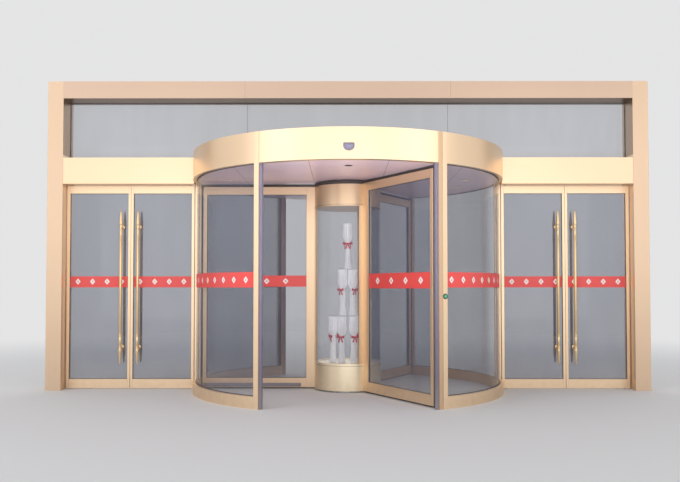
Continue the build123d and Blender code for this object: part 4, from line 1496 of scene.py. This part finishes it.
@dataclass
class SwingLeaf:
    """One glass swing door with its film, gaskets and turned handles."""

    name: str
    hinge_x: float
    angle: float
    street: Street
    leaf: GlazedFrame = GlazedFrame((-0.025, 0.116), (0.664, 2.302), 0.010, 2.390)
    film_band: Pair = (1.192, 1.322)
    film_shift: float = -0.0035
    handle_x: float = 0.594
    standoff: float = 0.082
    fixings: Pair = (0.494, 1.903)
    handle_middle: float = 1.1985
    half_handle: tuple[Pair, ...] = (
        (0.0030, 0.3000), (0.0072, 0.3030), (0.0090, 0.3080), (0.0068, 0.3135), (0.0050, 0.3160),
        (0.0088, 0.3185), (0.0100, 0.3230), (0.0118, 0.3500), (0.0145, 0.3900), (0.0172, 0.4250),
        (0.0192, 0.4420), (0.0200, 0.4520), (0.0196, 0.4640), (0.0172, 0.4720), (0.0150, 0.4760),
        (0.0150, 0.4790), (0.0178, 0.4810), (0.0178, 0.5060), (0.0150, 0.5085), (0.0150, 0.5110),
        (0.0162, 0.5130), (0.0162, 0.6120), (0.0150, 0.6150), (0.0186, 0.6190), (0.0196, 0.6240),
        (0.0186, 0.6290), (0.0150, 0.6330), (0.0186, 0.6370), (0.0196, 0.6420), (0.0186, 0.6470),
        (0.0150, 0.6510), (0.0162, 0.6535),
    )
    stub: tuple[Pair, ...] = (
        (0.0240, 0.0002), (0.0240, 0.0020), (0.0228, 0.0042), (0.0190, 0.0058), (0.0150, 0.0072),
        (0.0122, 0.0078), (0.0090, 0.0100), (0.0078, 0.0240), (0.0078, 0.0480), (0.0100, 0.0560),
        (0.0118, 0.0600), (0.0118, 0.0680),
    )

    def build(self) -> None:
        """Builds the leaf's film, gaskets, joints and handles, about its pivot."""
        place = turned(self.angle, self.hinge_x)
        film, trim = Draft(f"{self.name}_film"), Draft(f"{self.name}_gaskets")
        joints, handles = Draft(f"{self.name}_joints"), Draft(f"{self.name}_pulls")
        self.leaf.add_film(film, self.film_band, self.street.value, self.film_shift, place)
        self.leaf.add_gaskets(trim, place)
        self.leaf.add_joints(joints, place)
        upper = [(radius, 2 * self.handle_middle - height) for radius, height in reversed(self.half_handle)]
        for side in BOTH_SIDES:
            outwards = Matrix.Rotation(radians(-90.0 * side), 4, "X")
            stand = place @ Matrix.Translation((self.handle_x, side * self.standoff, 0.0))
            handles.lathe([*self.half_handle, *upper], stand)
            for level in self.fixings:
                root = (self.handle_x, side * self.leaf.glass_half, level)
                handles.lathe(self.stub, place @ Matrix.Translation(root) @ outwards)
        film.piece(self.name, "clear_glass", LEAF_FILM)
        trim.piece(self.name, "edge_rubber", GASKET)
        joints.piece(self.name, "gold_frame", JOINT_SHADOW_LINE)
        handles.piece(self.name, "handle_gold", BRASS, [f"{self.name}_handles"])

    def dress(self) -> None:
        """Gives the leaf's nodes their finishes."""
        dress(GOLD_UPRIGHT, f"{self.name}_frame")
        dress(LEAF_GLASS, f"{self.name}_glass")


@dataclass
class Studio:
    """Camera, pale floor and soft light."""

    lens: float = 41.24
    spot: Colour = (-0.06, -9.2, 1.195)
    tilt: float = 91.8
    heading: float = 0.19
    rise: float = 0.0318
    sensor_width: float = 36.0
    sight: float = 400.0
    floor_reach: float = 90.0
    floor_sides: int = 64
    seen_tone: Colour = (0.78, 0.78, 0.785)
    light_tone: Colour = (0.96, 0.97, 1.0)
    light_strength: float = 0.62
    target: Colour = (0.0, 0.0, 1.6)
    low_lamp: float = 1.0
    lamps: tuple[tuple[str, Colour, Pair, float], ...] = (
        ("front_light", (0.0, -15.0, 2.9), (15.2, 5.4), 355.0),
        ("upper_light", (0.0, -15.0, 8.4), (15.2, 5.4), 45.0),
        ("left_light", (-21.6, -19.5, 6.65), (17.6, 13.0), 970.0),
        ("right_light", (21.6, -19.5, 6.65), (17.6, 13.0), 970.0),
        ("key_light", (-8.0, -8.0, 11.0), (5.0, 5.0), 180.0),
        ("bounce_light", (0.0, -6.0, 0.3), (4.0, 3.0), 620.0),
        ("rear_light", (0.0, 14.5, 6.0), (10.0, 9.0), 340.0),
    )

    def build(self) -> None:
        """Builds the camera, the floor, the world and the lamps."""
        self.build_camera()
        self.build_floor()
        self.build_world()
        self.build_lamps()

    def build_camera(self) -> None:
        """Places the camera where the photograph was taken."""
        view = bpy.data.cameras.new("main_view")
        view.lens = self.lens
        view.shift_y = self.rise
        view.sensor_width = self.sensor_width
        view.clip_end = self.sight
        holder = add_object("main_view", view)
        holder.location = self.spot
        holder.rotation_euler = (radians(self.tilt), 0.0, radians(self.heading))
        bpy.context.scene.camera = holder

    def build_floor(self) -> None:
        """Lays the level floor."""
        mesh = bpy.data.meshes.new("studio_floor")
        turns = [tau * side / self.floor_sides for side in range(self.floor_sides)]
        rim = [(self.floor_reach * cos(turn), self.floor_reach * sin(turn), 0.0) for turn in turns]
        mesh.from_pydata(rim, [], [tuple(range(self.floor_sides))])
        mesh.materials.append(StudioFloor("studio_floor").material())
        floor = add_object("studio_floor", mesh)

    def build_world(self) -> None:
        """Sets the soft surrounding light and the pale tone that the camera and metal see."""
        world = bpy.data.worlds.new("studio_world")
        bpy.context.scene.world = world
        graph = ShaderGraph(world)
        seen_by = [graph.node("ShaderNodeLightPath", output=f"Is {ray} Ray") for ray in ("Camera", "Glossy")]
        light, seen = (
            graph.node("ShaderNodeBackground", inputs={"Color": tone, "Strength": strength})
            for tone, strength in ((self.light_tone, self.light_strength), (self.seen_tone, 1.0))
        )
        shares = {0: seen_by[0].either(seen_by[1]), 1: light, 2: seen}
        graph.close("ShaderNodeOutputWorld", graph.node("ShaderNodeMixShader", inputs=shares))

    def build_lamps(self) -> None:
        """Hangs the soft lamps and aims them at the door, the low one straight up."""
        for name, spot, size, power in self.lamps:
            light = bpy.data.lights.new(name, "AREA")
            light.shape = "RECTANGLE"
            light.size, light.size_y = size
            light.energy = power
            lamp = add_object(name, light)
            high = spot[2] > self.low_lamp
            aim = Vector(self.target) - Vector(spot) if high else Vector((0.0, 0.0, 1.0))
            lamp.location = spot
            lamp.rotation_euler = aim.to_track_quat("-Z", "Y").to_euler()
            lamp.visible_camera = False
            lamp.visible_glossy = high


def leaves() -> list[SwingLeaf]:
    """Lists the four side doors at their pivots.

    Returns:
        The doors from left to right.
    """
    return [
        SwingLeaf("outer_left_leaf", -3.254, 0.0, Street.NEAR),
        SwingLeaf("inner_left_leaf", -1.866, 180.0, Street.FAR),
        SwingLeaf("inner_right_leaf", 1.866, 0.0, Street.NEAR),
        SwingLeaf("outer_right_leaf", 3.254, 180.0, Street.FAR),
    ]


def main() -> None:
    """Builds and dresses every sub-assembly in order."""
    logging.basicConfig(level=logging.INFO, format="%(message)s")
    bpy.context.scene.view_settings.view_transform = "Standard"
    bpy.context.scene.cycles.transparent_max_bounces = 32
    Studio().build()
    for part in (EntranceScreen(), DrumWall(), Canopy(), Rotor(), *leaves()):
        part.build()
        part.dress()
        LOG.info("%s done", type(part).__name__)
    PushButton().build()
    ColumnDisplay().build()


if __name__ == "__main__":
    main()
